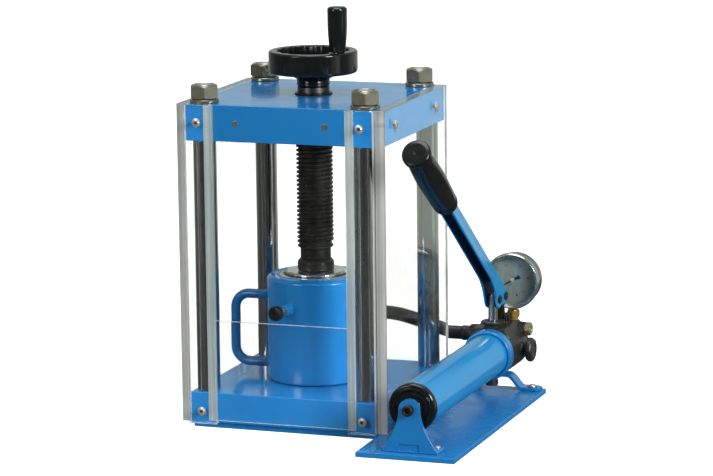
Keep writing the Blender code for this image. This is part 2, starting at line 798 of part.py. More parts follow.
def build_head():
    spigot = TUBE_BORE - GAP
    depth = HEAD_BACK - HEAD_FRONT
    profile = [
        (0.0, depth),
        (HEAD_RADIUS - 0.003, depth),
        (HEAD_RADIUS, depth - 0.003),
        (HEAD_RADIUS, 0.0),
        (spigot, 0.0),
        (spigot, -0.010),
        (0.0, -0.010),
    ]
    place = (PUMP_X, HEAD_FRONT, PUMP_Z)
    head = turned("pump_head", BLACK_CAST, profile, 28, place, (0.0, 1.0, 0.0))
    low = (PUMP_X - HEAD_HALF_WIDTH, HEAD_FRONT + 0.004, PUMP_Z - 0.004)
    high = (PUMP_X + HEAD_HALF_WIDTH, HEAD_BACK - 0.002, HEAD_TOP)
    combine(head, box("head_block", None, low, high, edge=0.004), "UNION")
    ear_width = 0.0035
    for side, sign in (("left", -1), ("right", 1)):
        x = PUMP_X + sign * 0.0078
        low = (x - ear_width / 2, LINK_FOOT_Y - 0.006, HEAD_TOP - 0.004)
        high = (x + ear_width / 2, LINK_FOOT_Y + 0.006, LINK_FOOT_Z + 0.0055)
        combine(head, box("head_ear_" + side, None, low, high), "UNION")
    bosses = [
        ("outlet", -OUTLET_BOSS, 0.0115, OUTLET_Y, OUTLET_Z),
        ("plug", PLUG_BOSS, 0.0083, PLUG_Y, PLUG_Z),
    ]
    for side, reach, radius, y, z in bosses:
        start = (PUMP_X + reach / 2, y, z)
        boss = rod(side + "_boss", None, radius, start, (PUMP_X + reach, y, z), 20)
        combine(head, boss, "UNION")
    y = PLUNGER_Y
    bottom = (PUMP_X, y, PUMP_Z - 0.012)
    drill(head, "plunger_bore", PLUNGER_RADIUS + GAP, bottom, (PUMP_X, y, HEAD_TOP + 0.01), 20)
    neck = (PUMP_X, y, HEAD_TOP - 0.008)
    drill(head, "gland_bore", 0.0083, neck, (PUMP_X, y, HEAD_TOP + 0.01), 20)
    left = (PUMP_X - 0.02, LINK_FOOT_Y, LINK_FOOT_Z)
    right = (PUMP_X + 0.02, LINK_FOOT_Y, LINK_FOOT_Z)
    drill(head, "link_pin_hole", PIN_RADIUS + GAP, left, right, 16)
    inner = (PUMP_X + 0.014, RELEASE_Y, RELEASE_Z)
    outer = (PUMP_X + HEAD_RADIUS + 0.01, RELEASE_Y, RELEASE_Z)
    drill(head, "release_bore", 0.0043, inner, outer, 16)


def build_plunger():
    length = 0.058
    profile = [
        (0.0, length),
        (PLUNGER_RADIUS - 0.0008, length),
        (PLUNGER_RADIUS, length - 0.0008),
        (PLUNGER_RADIUS, 0.0),
        (0.0, 0.0),
    ]
    place = (PUMP_X, PLUNGER_Y, PIN_Z + 0.0062 - length)
    plunger = turned("plunger", CHROME, profile, 20, place)
    left = (PUMP_X - 0.02, PLUNGER_Y, PIN_Z)
    drill(plunger, "plunger_eye", PIN_RADIUS + GAP, left, (PUMP_X + 0.02, PLUNGER_Y, PIN_Z), 16)
    bore = PLUNGER_RADIUS + GAP
    lip = HEAD_TOP + 0.0045
    gland = [
        (0.0135, lip + 0.0036),
        (0.0142, lip + 0.0026),
        (0.0142, lip + 0.0010),
        (0.0135, lip),
        (0.0104, lip),
        (0.0104, HEAD_TOP + GAP),
        (0.0080, HEAD_TOP + GAP),
        (0.0080, HEAD_TOP - 0.0075),
        (bore, HEAD_TOP - 0.0075),
        (bore, lip + 0.0036),
    ]
    turned("plunger_gland", BLACK_CAST, gland, 20, (PUMP_X, PLUNGER_Y, 0.0), ring=True)


def pin(name, y, z, half, head_radius=0.005, head_thick=0.0018):
    """A cross pin along X with a flat head on each end."""
    shank = half + GAP
    profile = [
        (0.0, shank + head_thick),
        (head_radius - 0.0004, shank + head_thick),
        (head_radius, shank + head_thick - 0.0004),
        (head_radius, shank),
        (PIN_RADIUS, shank),
        (PIN_RADIUS, -shank),
        (head_radius, -shank),
        (head_radius, -shank - head_thick + 0.0004),
        (head_radius - 0.0004, -shank - head_thick),
        (0.0, -shank - head_thick),
    ]
    turned(name, BLACK_STEEL, profile, 16, (PUMP_X, y, z), (1.0, 0.0, 0.0))


def build_link():
    """The fulcrum link between the ears of the head and the fork of the lever."""
    foot = Vector((LINK_FOOT_Y, LINK_FOOT_Z))
    top = Vector((FULCRUM_Y, PIN_Z))
    slope = math.degrees(math.atan2(top.y - foot.y, top.x - foot.x))
    radius = 0.0052
    outline = arc(foot, radius, slope + 90, slope + 270, 8)
    outline += arc(top, radius, slope - 90, slope + 90, 8)
    link = side_sheet("fulcrum_link", BLACK_STEEL, outline, 0.009, PUMP_X)
    for hole, centre in (("link_foot_eye", foot), ("link_top_eye", top)):
        left = (PUMP_X - 0.02, centre.x, centre.y)
        drill(link, hole, PIN_RADIUS + GAP, left, (PUMP_X + 0.02, centre.x, centre.y), 16)


def along_lever(forward, across=0.0):
    """World Y and Z of a point of the lever, from the fulcrum pin along and across its bar."""
    rise = math.radians(LEVER_RISE)
    y = FULCRUM_Y - forward * math.cos(rise) + across * math.sin(rise)
    z = PIN_Z + forward * math.sin(rise) + across * math.cos(rise)
    return (y, z)


def build_lever():
    """A channel pressed from sheet, open below, that ends in a fork around the link and the plunger."""
    roof = LEVER_ROOF
    floor = roof - LEVER_DEPTH
    outline = [
        along_lever(LEVER_LENGTH - 0.012, floor),
        along_lever(LEVER_LENGTH - 0.012, roof),
        along_lever(0.050, roof),
        along_lever(0.030, roof + 0.0015),
        *arc((FULCRUM_Y, PIN_Z), 0.0078, 60, -80, 7),
        (PLUNGER_Y + 0.0080, PIN_Z - 0.0105),
        (PLUNGER_Y - 0.0010, PIN_Z - 0.0105),
        (PLUNGER_Y - 0.0080, PIN_Z - 0.0060),
        (PLUNGER_Y - 0.0110, PIN_Z + 0.0020),
        along_lever(0.046, floor - 0.0035),
        along_lever(0.062, floor),
    ]
    lever = side_sheet("pump_lever", BLUE, outline, LEVER_WIDTH, PUMP_X)
    hollow = [
        along_lever(LEVER_LENGTH + 0.01, floor - 0.02),
        along_lever(LEVER_LENGTH + 0.01, roof - LEVER_WALL),
        along_lever(0.050, roof - LEVER_WALL),
        along_lever(0.024, roof - LEVER_WALL),
        along_lever(0.022, roof + 0.0200),
        (FULCRUM_Y + 0.0300, PIN_Z + 0.0300),
        (FULCRUM_Y + 0.0300, PIN_Z - 0.0300),
        (PLUNGER_Y - 0.0500, PIN_Z - 0.0300),
    ]
    inside = LEVER_WIDTH - 2 * LEVER_WALL
    combine(lever, side_sheet("lever_hollow", None, hollow, inside, PUMP_X))
    left = (PUMP_X - 0.02, FULCRUM_Y, PIN_Z)
    drill(lever, "fulcrum_hole", PIN_RADIUS + GAP, left, (PUMP_X + 0.02, FULCRUM_Y, PIN_Z), 16)
    slot = PIN_RADIUS + GAP + 0.0006
    far_end = arc((PLUNGER_Y - PLUNGER_SLOT, PIN_Z), slot, 90, 270, 6)
    ends = far_end + arc((PLUNGER_Y + 0.0004, PIN_Z), slot, -90, 90, 6)
    combine(lever, side_sheet("plunger_slot", None, ends, 0.04, PUMP_X))


def build_lever_grip():
    length = LEVER_GRIP_LENGTH
    profile = [
        (0.0, length),
        (0.0130, length),
        (0.0156, length - 0.0020),
        (0.0160, length - 0.0080),
        (0.0150, length - 0.0110),
        (0.0148, length - 0.0180),
        (0.0162, length - 0.0450),
        (0.0160, length - 0.0700),
        (0.0140, 0.0180),
        (0.0136, 0.0120),
        (0.0146, 0.0090),
        (0.0144, 0.0030),
        (0.0128, 0.0),
        (0.0, 0.0),
    ]
    rise = math.radians(LEVER_RISE)
    direction = (0.0, -math.cos(rise), math.sin(rise))
    middle = LEVER_ROOF - LEVER_DEPTH / 2
    start = along_lever(LEVER_LENGTH - length + GRIP_OVERHANG, middle)
    grip = turned("lever_grip", BLACK_PLASTIC, profile, 20, (PUMP_X, *start), direction)
    half = LEVER_DEPTH / 2 + GAP
    near = LEVER_LENGTH - length
    far = LEVER_LENGTH - 0.012 + GAP
    pocket = [
        along_lever(near, middle - half),
        along_lever(near, middle + half),
        along_lever(far, middle + half),
        along_lever(far, middle - half),
    ]
    combine(grip, side_sheet("grip_pocket", None, pocket, LEVER_WIDTH + 2 * GAP, PUMP_X))


# Gauge, valves and feet


def build_gauge():
    stem_top = GAUGE_Z - CASE_RADIUS - GAP
    stem = [
        (0.0, stem_top),
        (0.0045, stem_top),
        (0.0045, HEAD_TOP + 0.0125),
        (0.0075, HEAD_TOP + 0.0120),
        (0.0075, HEAD_TOP + 0.0045),
        (0.0055, HEAD_TOP + 0.0040),
        (0.0055, HEAD_TOP + GAP),
        (0.0, HEAD_TOP + GAP),
    ]
    turned("gauge_stem", BRASS, stem, 20, (GAUGE_X, GAUGE_Y, 0.0))
    case = [
        (0.0, 0.012),
        (0.0300, 0.012),
        (0.0300, 0.0055),
        (0.0312, 0.0055),
        (0.0312, 0.0016),
        (0.0296, 0.0016),
        (0.0296, 0.0),
        (BEZEL_RADIUS - 0.0015, 0.0),
        (BEZEL_RADIUS, 0.0015),
        (BEZEL_RADIUS, 0.0060),
        (CASE_RADIUS, 0.0068),
        (CASE_RADIUS, CASE_DEPTH - 0.0030),
        (CASE_RADIUS - 0.0030, CASE_DEPTH),
        (0.0, CASE_DEPTH),
    ]
    front = (GAUGE_X, GAUGE_FRONT, GAUGE_Z)
    turned("gauge_case", STEEL, list(reversed(case)), 32, front, (0.0, 1.0, 0.0))
    lens = [(0.0, 0.0052), (0.0309, 0.0052), (0.0309, 0.0019), (0.0, 0.0019)]
    turned("gauge_lens", GLASS, lens, 32, front, (0.0, 1.0, 0.0))
    dial = [(0.0, 0.0117), (0.0297, 0.0117), (0.0297, 0.0107), (0.0, 0.0107)]
    turned("gauge_dial", DIAL, dial, 32, front, (0.0, 1.0, 0.0))
    needle_outline = [
        (-0.0003, 0.0215),
        (0.0003, 0.0215),
        (0.0010, 0.0030),
        (0.0016, -0.0030),
        (0.0028, -0.0095),
        (-0.0028, -0.0095),
        (-0.0016, -0.0030),
        (-0.0010, 0.0030),
    ]
    y = GAUGE_FRONT + 0.0090
    needle = sheet("gauge_needle", BLACK_STEEL, needle_outline, 0.0008, (GAUGE_X, y, GAUGE_Z))
    needle.rotation_euler = (math.radians(90.0), math.radians(-118.0), 0.0)


def build_valves():
    start = (PUMP_X + 0.0145, RELEASE_Y, RELEASE_Z)
    reach = 0.0285
    profile = [
        (0.0, reach),
        (0.0125, reach),
        (0.0145, reach - 0.0015),
        (0.0145, reach - 0.0045),
        (0.0125, reach - 0.0060),
        (0.0060, reach - 0.0060),
        (0.0055, 0.0150),
        (0.0040, 0.0148),
        (0.0040, 0.0),
        (0.0, 0.0),
    ]
    turned("release_valve", BLACK_PLASTIC, profile, 24, start, (1.0, 0.0, 0.0))
    x = PUMP_X + PLUG_BOSS + GAP
    plug_radius = 0.014 / math.sqrt(3)
    end = (x + 0.0065, PLUG_Y, PLUG_Z)
    rod("outlet_plug", BRASS, plug_radius, (x, PLUG_Y, PLUG_Z), end, 6, edge=0.0006)


def bracket_half_width(height, top):
    """Half the width of the bell-shaped front bracket at a height above its foot."""
    flare = BRACKET_HALF - BRACKET_TOP_RADIUS
    return BRACKET_TOP_RADIUS + flare * (1.0 - height / top) ** 1.8


def build_bracket():
    foot = BASE_THICK + GAP
    top = PUMP_Z - foot
    back = CAP_BOSS_FRONT - GAP
    heights = [top * step / 7 for step in range(8)]
    right = [(bracket_half_width(height, top), height) for height in heights[:-1]]
    left = [(-half, height) for half, height in reversed(right)]
    outline = right + arc((0.0, top), BRACKET_TOP_RADIUS, 0, 180, 10) + left
    place = (PUMP_X, back - BRACKET_THICK / 2, foot)
    bracket = sheet("front_bracket", BLUE, outline, BRACKET_THICK, place)
    bracket.rotation_euler = (math.radians(90.0), 0.0, 0.0)
    low = (PUMP_X - BRACKET_HALF, back - BRACKET_THICK / 2, foot)
    high = (PUMP_X + BRACKET_HALF, back + 0.018, foot + BRACKET_THICK)
    combine(bracket, box("bracket_flange", None, low, high), "UNION")
    start = (PUMP_X, back - BRACKET_THICK - 0.01, PUMP_Z)
    drill(bracket, "bracket_hole", 0.0043, start, (PUMP_X, back + 0.01, PUMP_Z), 16)
    front = back - BRACKET_THICK - GAP
    bolt = [
        (0.0, 0.0070 - 0.0035),
        (0.0030, 0.0070 - 0.0035),
        (0.0030, 0.0070),
        (0.0060, 0.0070),
        (0.0065, 0.0065),
        (0.0065, 0.0),
        (0.0040, 0.0),
        (0.0040, -0.0160),
        (0.0, -0.0160),
    ]
    turned("bracket_bolt", BLACK_STEEL, bolt, 20, (PUMP_X, front, PUMP_Z), (0.0, -1.0, 0.0))


def build_rear_foot():
    foot = BASE_THICK + GAP
    arch = PUMP_Z - HEAD_RADIUS - GAP - FOOT_THICK - foot
    half = [
        (0.013, arch),
        (0.029, 0.0),
        (FOOT_HALF, 0.0),
        (FOOT_HALF, FOOT_THICK),
        (0.031, FOOT_THICK),
        (0.015, arch + FOOT_THICK),
    ]
    outline = half + [(-x, z) for x, z in reversed(half)]
    middle = (FOOT_FRONT + FOOT_BACK) / 2
    strap = sheet("rear_foot", BLUE, outline, FOOT_BACK - FOOT_FRONT, (PUMP_X, middle, foot))
    strap.rotation_euler = (math.radians(90.0), 0.0, 0.0)


clear_scene()
PRESS = new_collection("tablet_press")
CUTTERS = new_collection("cutters", hidden=True)
BLUE = new_material("blue_paint", (0.015, 0.195, 0.552), 0.28)
CHROME = new_material("chrome", (0.55, 0.56, 0.58), 0.12, 1.0)
NICKEL = new_material("nickel", (0.62, 0.60, 0.56), 0.3, 1.0)
STEEL = new_material("brushed_steel", (0.58, 0.58, 0.57), 0.35, 1.0)
BLACK_STEEL = new_material("black_steel", (0.020, 0.020, 0.020), 0.4, 0.6)
BLACK_CAST = new_material("black_cast", (0.018, 0.018, 0.020), 0.5, 0.3)
BLACK_PLASTIC = new_material("black_plastic", (0.012, 0.012, 0.013), 0.22)
BRASS = new_material("brass", (0.62, 0.42, 0.12), 0.3, 1.0)
RUBBER = new_material("rubber", (0.020, 0.020, 0.020), 0.6)
ACRYLIC = new_material("acrylic", (0.90, 0.93, 0.93), 0.03, 0.0, 1.0)
GLASS = new_material("glass", (0.92, 0.95, 0.95), 0.02, 0.0, 1.0)
DIAL = new_material("dial_face", (0.42, 0.47, 0.46), 0.5)

build_base()
build_plates()
build_columns()
build_nuts()
build_guard()
build_bush()
build_screw()
build_pad()
build_handwheel()
build_crank()
build_jack()
build_carry_handle()
build_bleed_screw()
build_couplers()
build_hose()
build_reservoir()
build_head()
build_plunger()
pin("plunger_pin", PLUNGER_Y, PIN_Z, LEVER_WIDTH / 2)
pin("fulcrum_pin", FULCRUM_Y, PIN_Z, LEVER_WIDTH / 2)
pin("link_pin", LINK_FOOT_Y, LINK_FOOT_Z, 0.0096)
build_link()
build_lever()
build_lever_grip()
build_gauge()
build_valves()
build_bracket()
build_rear_foot()
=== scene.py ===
"""Visual model of the laboratory tablet press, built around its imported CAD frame.

Metres, +Z up, in the row frame: the origin is the press axis on the underside of the base plate,
+X runs to the pump side and -Y to the operator.
"""

import math
import random

import bmesh
import bpy
from mathutils import Matrix, Vector


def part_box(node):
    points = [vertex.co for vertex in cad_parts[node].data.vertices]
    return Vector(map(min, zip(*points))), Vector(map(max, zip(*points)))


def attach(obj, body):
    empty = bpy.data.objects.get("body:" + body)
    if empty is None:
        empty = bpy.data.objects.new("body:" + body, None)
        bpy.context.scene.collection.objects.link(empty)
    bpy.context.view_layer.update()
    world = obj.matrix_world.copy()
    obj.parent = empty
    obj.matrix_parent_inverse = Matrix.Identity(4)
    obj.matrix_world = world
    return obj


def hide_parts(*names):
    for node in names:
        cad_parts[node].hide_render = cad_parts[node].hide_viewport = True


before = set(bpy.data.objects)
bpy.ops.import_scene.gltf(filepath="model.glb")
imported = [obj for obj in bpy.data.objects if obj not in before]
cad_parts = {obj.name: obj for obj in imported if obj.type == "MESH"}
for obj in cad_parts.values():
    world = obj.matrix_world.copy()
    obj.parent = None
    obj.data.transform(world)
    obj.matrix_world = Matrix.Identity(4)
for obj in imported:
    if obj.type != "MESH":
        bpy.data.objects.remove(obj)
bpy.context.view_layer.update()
SCENE = bpy.context.scene
UP = Vector((0.0, 0.0, 1.0))
OPERATOR = Vector((0.0, -1.0, 0.0))
REAR = Vector((0.0, 1.0, 0.0))
RIGHT = Vector((1.0, 0.0, 0.0))
IDENTITY = Matrix.Identity(4)
YZ_TO_WORLD = Matrix(((0, 0, 1, 0), (1, 0, 0, 0), (0, 1, 0, 0), (0, 0, 0, 1)))


# Camera


def make_camera():
    azimuth = math.radians(19.47)
    elevation = math.radians(10.39)
    roll = math.radians(-0.67)
    flat = math.cos(elevation)
    back = Vector((math.sin(azimuth) * flat, -math.cos(azimuth) * flat, math.sin(elevation)))
    level = Vector((math.cos(azimuth), math.sin(azimuth), 0.0))
    upright = back.cross(level)
    right = level * math.cos(roll) + upright * math.sin(roll)
    up = upright * math.cos(roll) - level * math.sin(roll)
    data = bpy.data.cameras.new("camera")
    data.sensor_width = 36.0
    data.lens = 170.7
    data.clip_start = 0.05
    data.clip_end = 60.0
    camera = bpy.data.objects.new("camera", data)
    SCENE.collection.objects.link(camera)
    pose = Matrix((right, up, back)).transposed().to_4x4()
    pose.translation = Vector((0.04962, 0.0, 0.20599)) + back * 3.85023
    camera.matrix_world = pose
    SCENE.camera = camera


make_camera()


# Looks: procedural materials, each with its colour, roughness and relief from nodes


def add_node(tree, kind, links=(), settings=(), **values):
    """A shader node with its settings, its constant inputs and its (socket, source) links."""
    made = tree.nodes.new("ShaderNode" + kind)
    for name, value in settings:
        setattr(made, name, value)
    for name, value in values.items():
        made.inputs[name].default_value = value
    for socket, source in links:
        tree.links.new(source, made.inputs[socket])
    return made


class Surface:
    """A Principled material and the few node patterns that the looks share."""

    def __init__(self, name, colour, roughness, metallic=0.0):
        self.material = bpy.data.materials.new("look_" + name)
        self.material.use_nodes = True
        self.tree = self.material.node_tree
        self.shader = self.tree.nodes["Principled BSDF"]
        self.set("Base Color", (*colour, 1.0))
        self.set("Roughness", roughness)
        self.set("Metallic", metallic)
        self.relief = None

    def set(self, socket, value):
        self.shader.inputs[socket].default_value = value

    def join(self, start, end):
        self.tree.links.new(start, end)

    def noise(self, scale, stretch=(1.0, 1.0, 1.0), detail=4.0):
        """A cloudy field over the piece's own coordinates, with about scale clouds a metre."""
        place = add_node(self.tree, "TexCoord")
        links = [("Vector", place.outputs["Object"])]
        size = add_node(self.tree, "Mapping", links, Scale=stretch)
        links = [("Vector", size.outputs["Vector"])]
        cloud = add_node(self.tree, "TexNoise", links, Scale=scale, Detail=detail, Roughness=0.55)
        return cloud.outputs["Fac"]

    def rings(self, pitch):
        """Turning marks: slightly uneven bands across the piece's own Z axis."""
        place = add_node(self.tree, "TexCoord")
        links = [("Vector", place.outputs["Object"])]
        kind = [("wave_type", "BANDS"), ("bands_direction", "Z")]
        values = {"Scale": 0.05 / pitch, "Distortion": 1.5, "Detail": 2.0}
        return add_node(self.tree, "TexWave", links, kind, **values).outputs["Fac"]

    def vary_roughness(self, field, low, high):
        span = {"From Min": 0.3, "From Max": 0.7, "To Min": low, "To Max": high}
        step = add_node(self.tree, "MapRange", [("Value", field)], **span)
        self.join(step.outputs["Result"], self.shader.inputs["Roughness"])

    def vary_colour(self, field, dark, light, start=0.3, end=0.7):
        ramp = add_node(self.tree, "ValToRGB", [("Fac", field)])
        stops = ramp.color_ramp.elements
        for stop, position, colour in ((stops[0], start, dark), (stops[1], end, light)):
            stop.position = position
            stop.color = (*colour, 1.0)
        self.join(ramp.outputs["Color"], self.shader.inputs["Base Color"])

    def bump(self, field, depth):
        links = [("Height", field)]
        if self.relief is not None:
            links.append(("Normal", self.relief))
        step = add_node(self.tree, "Bump", links, Distance=depth)
        self.relief = step.outputs["Normal"]
        self.join(self.relief, self.shader.inputs["Normal"])


def plated(name, dark, light, low, high, scale, metallic):
    """Dull plating over steel: partly mirror, partly haze, with small stains."""
    look = Surface(name, light, low, metallic)
    look.vary_colour(look.noise(scale, detail=6.0), dark, light)
    look.vary_roughness(look.noise(scale * 1.8, detail=6.0), low, high)
    look.bump(look.noise(scale * 5.0, detail=2.0), 0.000008)
    return look


def gloss_paint(name, dark, light, low, high, gloss=1.55):
    look = Surface(name, light, low)
    look.vary_colour(look.noise(14.0, detail=5.0), dark, light)
    look.vary_roughness(look.noise(42.0, detail=6.0), low, high)
    look.bump(look.noise(240.0, detail=1.0), 0.000035)
    look.bump(look.noise(1500.0, detail=2.0), 0.000004)
    look.set("IOR", gloss)
    look.set("Coat Weight", 0.35 if gloss > 1.5 else 0.0)
    look.set("Coat Roughness", 0.04)
    return look


def bright_metal(name, dark, light, low, high, stretch, scale):
    look = Surface(name, light, low, 1.0)
    look.vary_colour(look.noise(scale, stretch, detail=5.0), dark, light)
    look.vary_roughness(look.noise(scale * 1.7, stretch, detail=6.0), low, high)
    look.bump(look.noise(scale * 5.0, stretch, detail=2.0), 0.000004)
    return look


def turned_metal(name, dark, light, low, high, pitch):
    look = Surface(name, light, low, 1.0)
    look.vary_colour(look.noise(160.0, detail=5.0), dark, light)
    look.vary_roughness(look.noise(320.0, detail=5.0), low, high)
    look.bump(look.rings(pitch), 0.000010)
    return look


def dark_finish(name, dark, light, low, high, grain, depth, metallic=0.0):
    look = Surface(name, light, low, metallic)
    look.vary_colour(look.noise(60.0, detail=6.0), dark, light)
    look.vary_roughness(look.noise(110.0, detail=6.0), low, high)
    look.bump(look.noise(grain, detail=3.0), depth)
    return look


def clear_sheet(name, colour, low, high, depth):
    look = Surface(name, colour, low)
    look.vary_roughness(look.noise(90.0, detail=6.0), low, high)
    look.bump(look.noise(18.0, detail=1.0), depth)
    look.set("Transmission Weight", 1.0)
    look.set("IOR", 1.49)
    return look


def milky_sheet(name, colour, low, high, clear):
    """A sawn or milled face of clear sheet, which scatters part of the light."""
    look = Surface(name, colour, low)
    dark = tuple(part * 0.80 for part in colour)
    light = tuple(min(0.95, part * 1.22) for part in colour)
    look.vary_colour(look.noise(230.0, (1, 1, 0.012), detail=2.0), dark, light, 0.40, 0.60)
    look.vary_roughness(look.noise(70.0, (1, 1, 0.15), detail=6.0), low, high)
    look.bump(look.noise(260.0, (1, 1, 0.1), detail=3.0), 0.00003)
    look.set("Transmission Weight", clear)
    look.set("IOR", 1.49)
    return look


# Each look: its name, the record's slot, its maker, and the maker's colours and measures.
LOOK_TABLE = (
    ("paint", "blue_paint", gloss_paint, (0.008, 0.172, 0.465), (0.012, 0.198, 0.520), 0.13, 0.22),
    # paint_light: a lighter, more cyan copy of the blue paint, painted light for the brightly lit
    # reservoir tube and lever
    ("paint_light", "blue_paint", gloss_paint,
     (0.010, 0.240, 0.545), (0.014, 0.270, 0.610), 0.13, 0.22, 1.45),
    # paint_deep: a darker copy of the blue paint, painted shade for the jack's carry handle
    ("paint_deep", "blue_paint", gloss_paint, (0.006, 0.112, 0.310), (0.008, 0.130, 0.350), 0.13, 0.22),
    # paint_shade: a near-black copy of the blue paint, painted shade for the inside of the lever's
    # channel
    ("paint_shade", "blue_paint", gloss_paint,
     (0.003, 0.030, 0.085), (0.004, 0.040, 0.110), 0.3, 0.4, 1.35),
    ("bar", "chrome", bright_metal,
     (0.42, 0.43, 0.43), (0.62, 0.63, 0.63), 0.06, 0.14, (9, 9, 0.4), 60),
    ("ram", "chrome", bright_metal, (0.62, 0.62, 0.61), (0.78, 0.78, 0.77), 0.10, 0.22, (1, 1, 1), 90),
    ("nickel", "nickel", plated, (0.25, 0.25, 0.19), (0.36, 0.355, 0.28), 0.16, 0.26, 60, 0.86),
    ("screw", "nickel", plated, (0.46, 0.45, 0.40), (0.62, 0.61, 0.56), 0.16, 0.30, 140, 0.55),
    ("paint_base", "blue_paint", gloss_paint,
     (0.012, 0.190, 0.500), (0.016, 0.212, 0.550), 0.20, 0.32, 1.36),
    ("steel", "brushed_steel", turned_metal,
     (0.46, 0.46, 0.45), (0.60, 0.60, 0.59), 0.24, 0.38, 0.0004),
    ("case", "brushed_steel", turned_metal, (0.24, 0.23, 0.21), (0.31, 0.30, 0.27), 0.22, 0.34, 0.0005),
    ("bezel", "brushed_steel", plated, (0.40, 0.41, 0.40), (0.52, 0.53, 0.52), 0.10, 0.18, 60, 0.90),
    ("spindle", "black_steel", turned_metal,
     (0.085, 0.078, 0.070), (0.13, 0.12, 0.11), 0.30, 0.42, 0.0005),
    ("oxide", "black_steel", dark_finish,
     (0.018, 0.019, 0.018), (0.052, 0.052, 0.046), 0.24, 0.42, 700, 0.00001, 0.65),
    ("cast", "black_cast", dark_finish,
     (0.010, 0.010, 0.011), (0.026, 0.026, 0.027), 0.34, 0.52, 420, 0.00006, 0.1),
    ("gloss_black", "black_plastic", dark_finish,
     (0.003, 0.004, 0.004), (0.006, 0.008, 0.008), 0.09, 0.18, 260, 0.00002),
    ("grip", "black_plastic", dark_finish,
     (0.002, 0.003, 0.003), (0.005, 0.006, 0.006), 0.12, 0.24, 500, 0.00002),
    ("hose", "rubber", dark_finish,
     (0.007, 0.007, 0.007), (0.016, 0.016, 0.015), 0.36, 0.52, 900, 0.00004),
    ("brass", "brass", plated, (0.62, 0.41, 0.10), (0.74, 0.51, 0.15), 0.14, 0.24, 90, 0.78),
    ("olive_brass", "brass", plated, (0.34, 0.32, 0.17), (0.42, 0.39, 0.22), 0.20, 0.32, 90, 0.70),
    ("acrylic", "acrylic", clear_sheet, (0.985, 0.995, 0.995), 0.0, 0.02, 0.00002),
    ("acrylic_side", "acrylic", clear_sheet, (0.978, 0.985, 0.955), 0.0, 0.02, 0.00002),
    ("frosted", "acrylic", milky_sheet, (0.39, 0.45, 0.44), 0.30, 0.50, 0.50),
    ("sawn", "acrylic", milky_sheet, (0.50, 0.51, 0.49), 0.08, 0.20, 0.36),
    # sawn_top: a darker, blue-grey copy of the sawn edge colour, painted shade on upward-facing sawn
    # edges only
    ("sawn_top", "acrylic", milky_sheet, (0.20, 0.27, 0.29), 0.10, 0.22, 0.40),
    ("glass", "glass", clear_sheet, (0.97, 0.99, 0.99), 0.0, 0.015, 0.00001),
    ("dial", "dial_face", dark_finish,
     (0.115, 0.150, 0.135), (0.155, 0.195, 0.180), 0.40, 0.52, 900, 0.00001),
    ("dial_ink", "dial_face", dark_finish,
     (0.025, 0.035, 0.035), (0.04, 0.055, 0.055), 0.40, 0.52, 900, 0.00001),
    # socket: dark bronze for the floor disc of screw sockets, painted shade in the recess
    ("socket", "black_steel", dark_finish,
     (0.040, 0.028, 0.010), (0.120, 0.080, 0.026), 0.35, 0.5, 900, 0.00001, 0.5),
    # door_edge: the door's milky milled edges, made much lighter than the panels' sawn edges as a
    # painted highlight for the bright line along the door's top edge
    ("door_edge", "acrylic", milky_sheet, (0.72, 0.78, 0.75), 0.25, 0.40, 0.20),
)
LOOKS = {name: maker(name, *values) for name, slot, maker, *values in LOOK_TABLE}


# Shape helpers


def toward(origin, direction=UP, twist=0.0):
    """A pose whose local Z runs along a direction, turned by twist degrees about it."""
    turn = UP.rotation_difference(Vector(direction)).to_matrix().to_4x4()
    spin = Matrix.Rotation(math.radians(twist), 4, "Z")
    return Matrix.Translation(Vector(origin)) @ turn @ spin


def piece(name, form, pose, look, stands_for=(), body="frame", sharp=34.0):
    """Makes an object of a bmesh, with its look, in place of CAD nodes, on its body."""
    mesh = bpy.data.meshes.new(name)
    bmesh.ops.recalc_face_normals(form, faces=form.faces)
    form.to_mesh(mesh)
    form.free()
    mesh.shade_smooth()
    mesh.set_sharp_from_angle(angle=math.radians(sharp))
    made = bpy.data.objects.new(name, mesh)
    SCENE.collection.objects.link(made)
    made.matrix_world = pose
    mesh.materials.append(LOOKS[look].material)
    level = made.modifiers.new("Normals", "WEIGHTED_NORMAL")
    level.keep_sharp = True
    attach(made, body)
    if stands_for:
        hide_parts(*stands_for)
    if look in ("acrylic", "acrylic_side", "glass"):
        made.visible_shadow = False
    return made


def softened(profile, closed=False):
    """Rounds each corner of a profile that gives a third number, its fillet."""
    count = len(profile)
    points = []
    for index, corner in enumerate(profile):
        here = Vector(corner[:2])
        inner = closed or 0 < index < count - 1
        if len(corner) < 3 or not inner:
            points.append(tuple(here))
            continue
        before = Vector(profile[index - 1][:2]) - here
        after = Vector(profile[(index + 1) % count][:2]) - here
        reach = min(corner[2], before.length * 0.48, after.length * 0.48)
        start = here + before.normalized() * reach
        end = here + after.normalized() * reach
        for step in range(5):
            t = step / 4
            points.append(tuple((1 - t) ** 2 * start + 2 * t * (1 - t) * here + t * t * end))
    return points


def lathe(profile, steps, closed=False, shape=None):
    """A profile of (radius, height[, fillet]) turned about Z, moved by shape(angle, radius, height)."""
    form = bmesh.new()
    rings = []
    for radius, height in softened(profile, closed):
        if radius < 1e-7:
            rings.append([form.verts.new((0.0, 0.0, height))])
            continue
        ring = []
        for step in range(steps):
            angle = 2 * math.pi * step / steps
            r, z = shape(angle, radius, height) if shape else (radius, height)
            ring.append(form.verts.new((r * math.cos(angle), r * math.sin(angle), z)))
        rings.append(ring)
    pairs = list(zip(rings, rings[1:]))
    if closed:
        pairs.append((rings[-1], rings[0]))
    for low, high in pairs:
        for step in range(steps):
            after = (step + 1) % steps
            if len(low) == 1 and len(high) == 1:
                break
            if len(low) == 1:
                form.faces.new((low[0], high[after], high[step]))
            elif len(high) == 1:
                form.faces.new((low[step], low[after], high[0]))
            else:
                form.faces.new((low[step], low[after], high[after], high[step]))
    return form


def hexagon(angle, across):
    """The radius of a hexagon with that size across its flats."""
    sector = math.pi / 3
    return across / 2 / math.cos((angle + sector / 2) % sector - sector / 2)


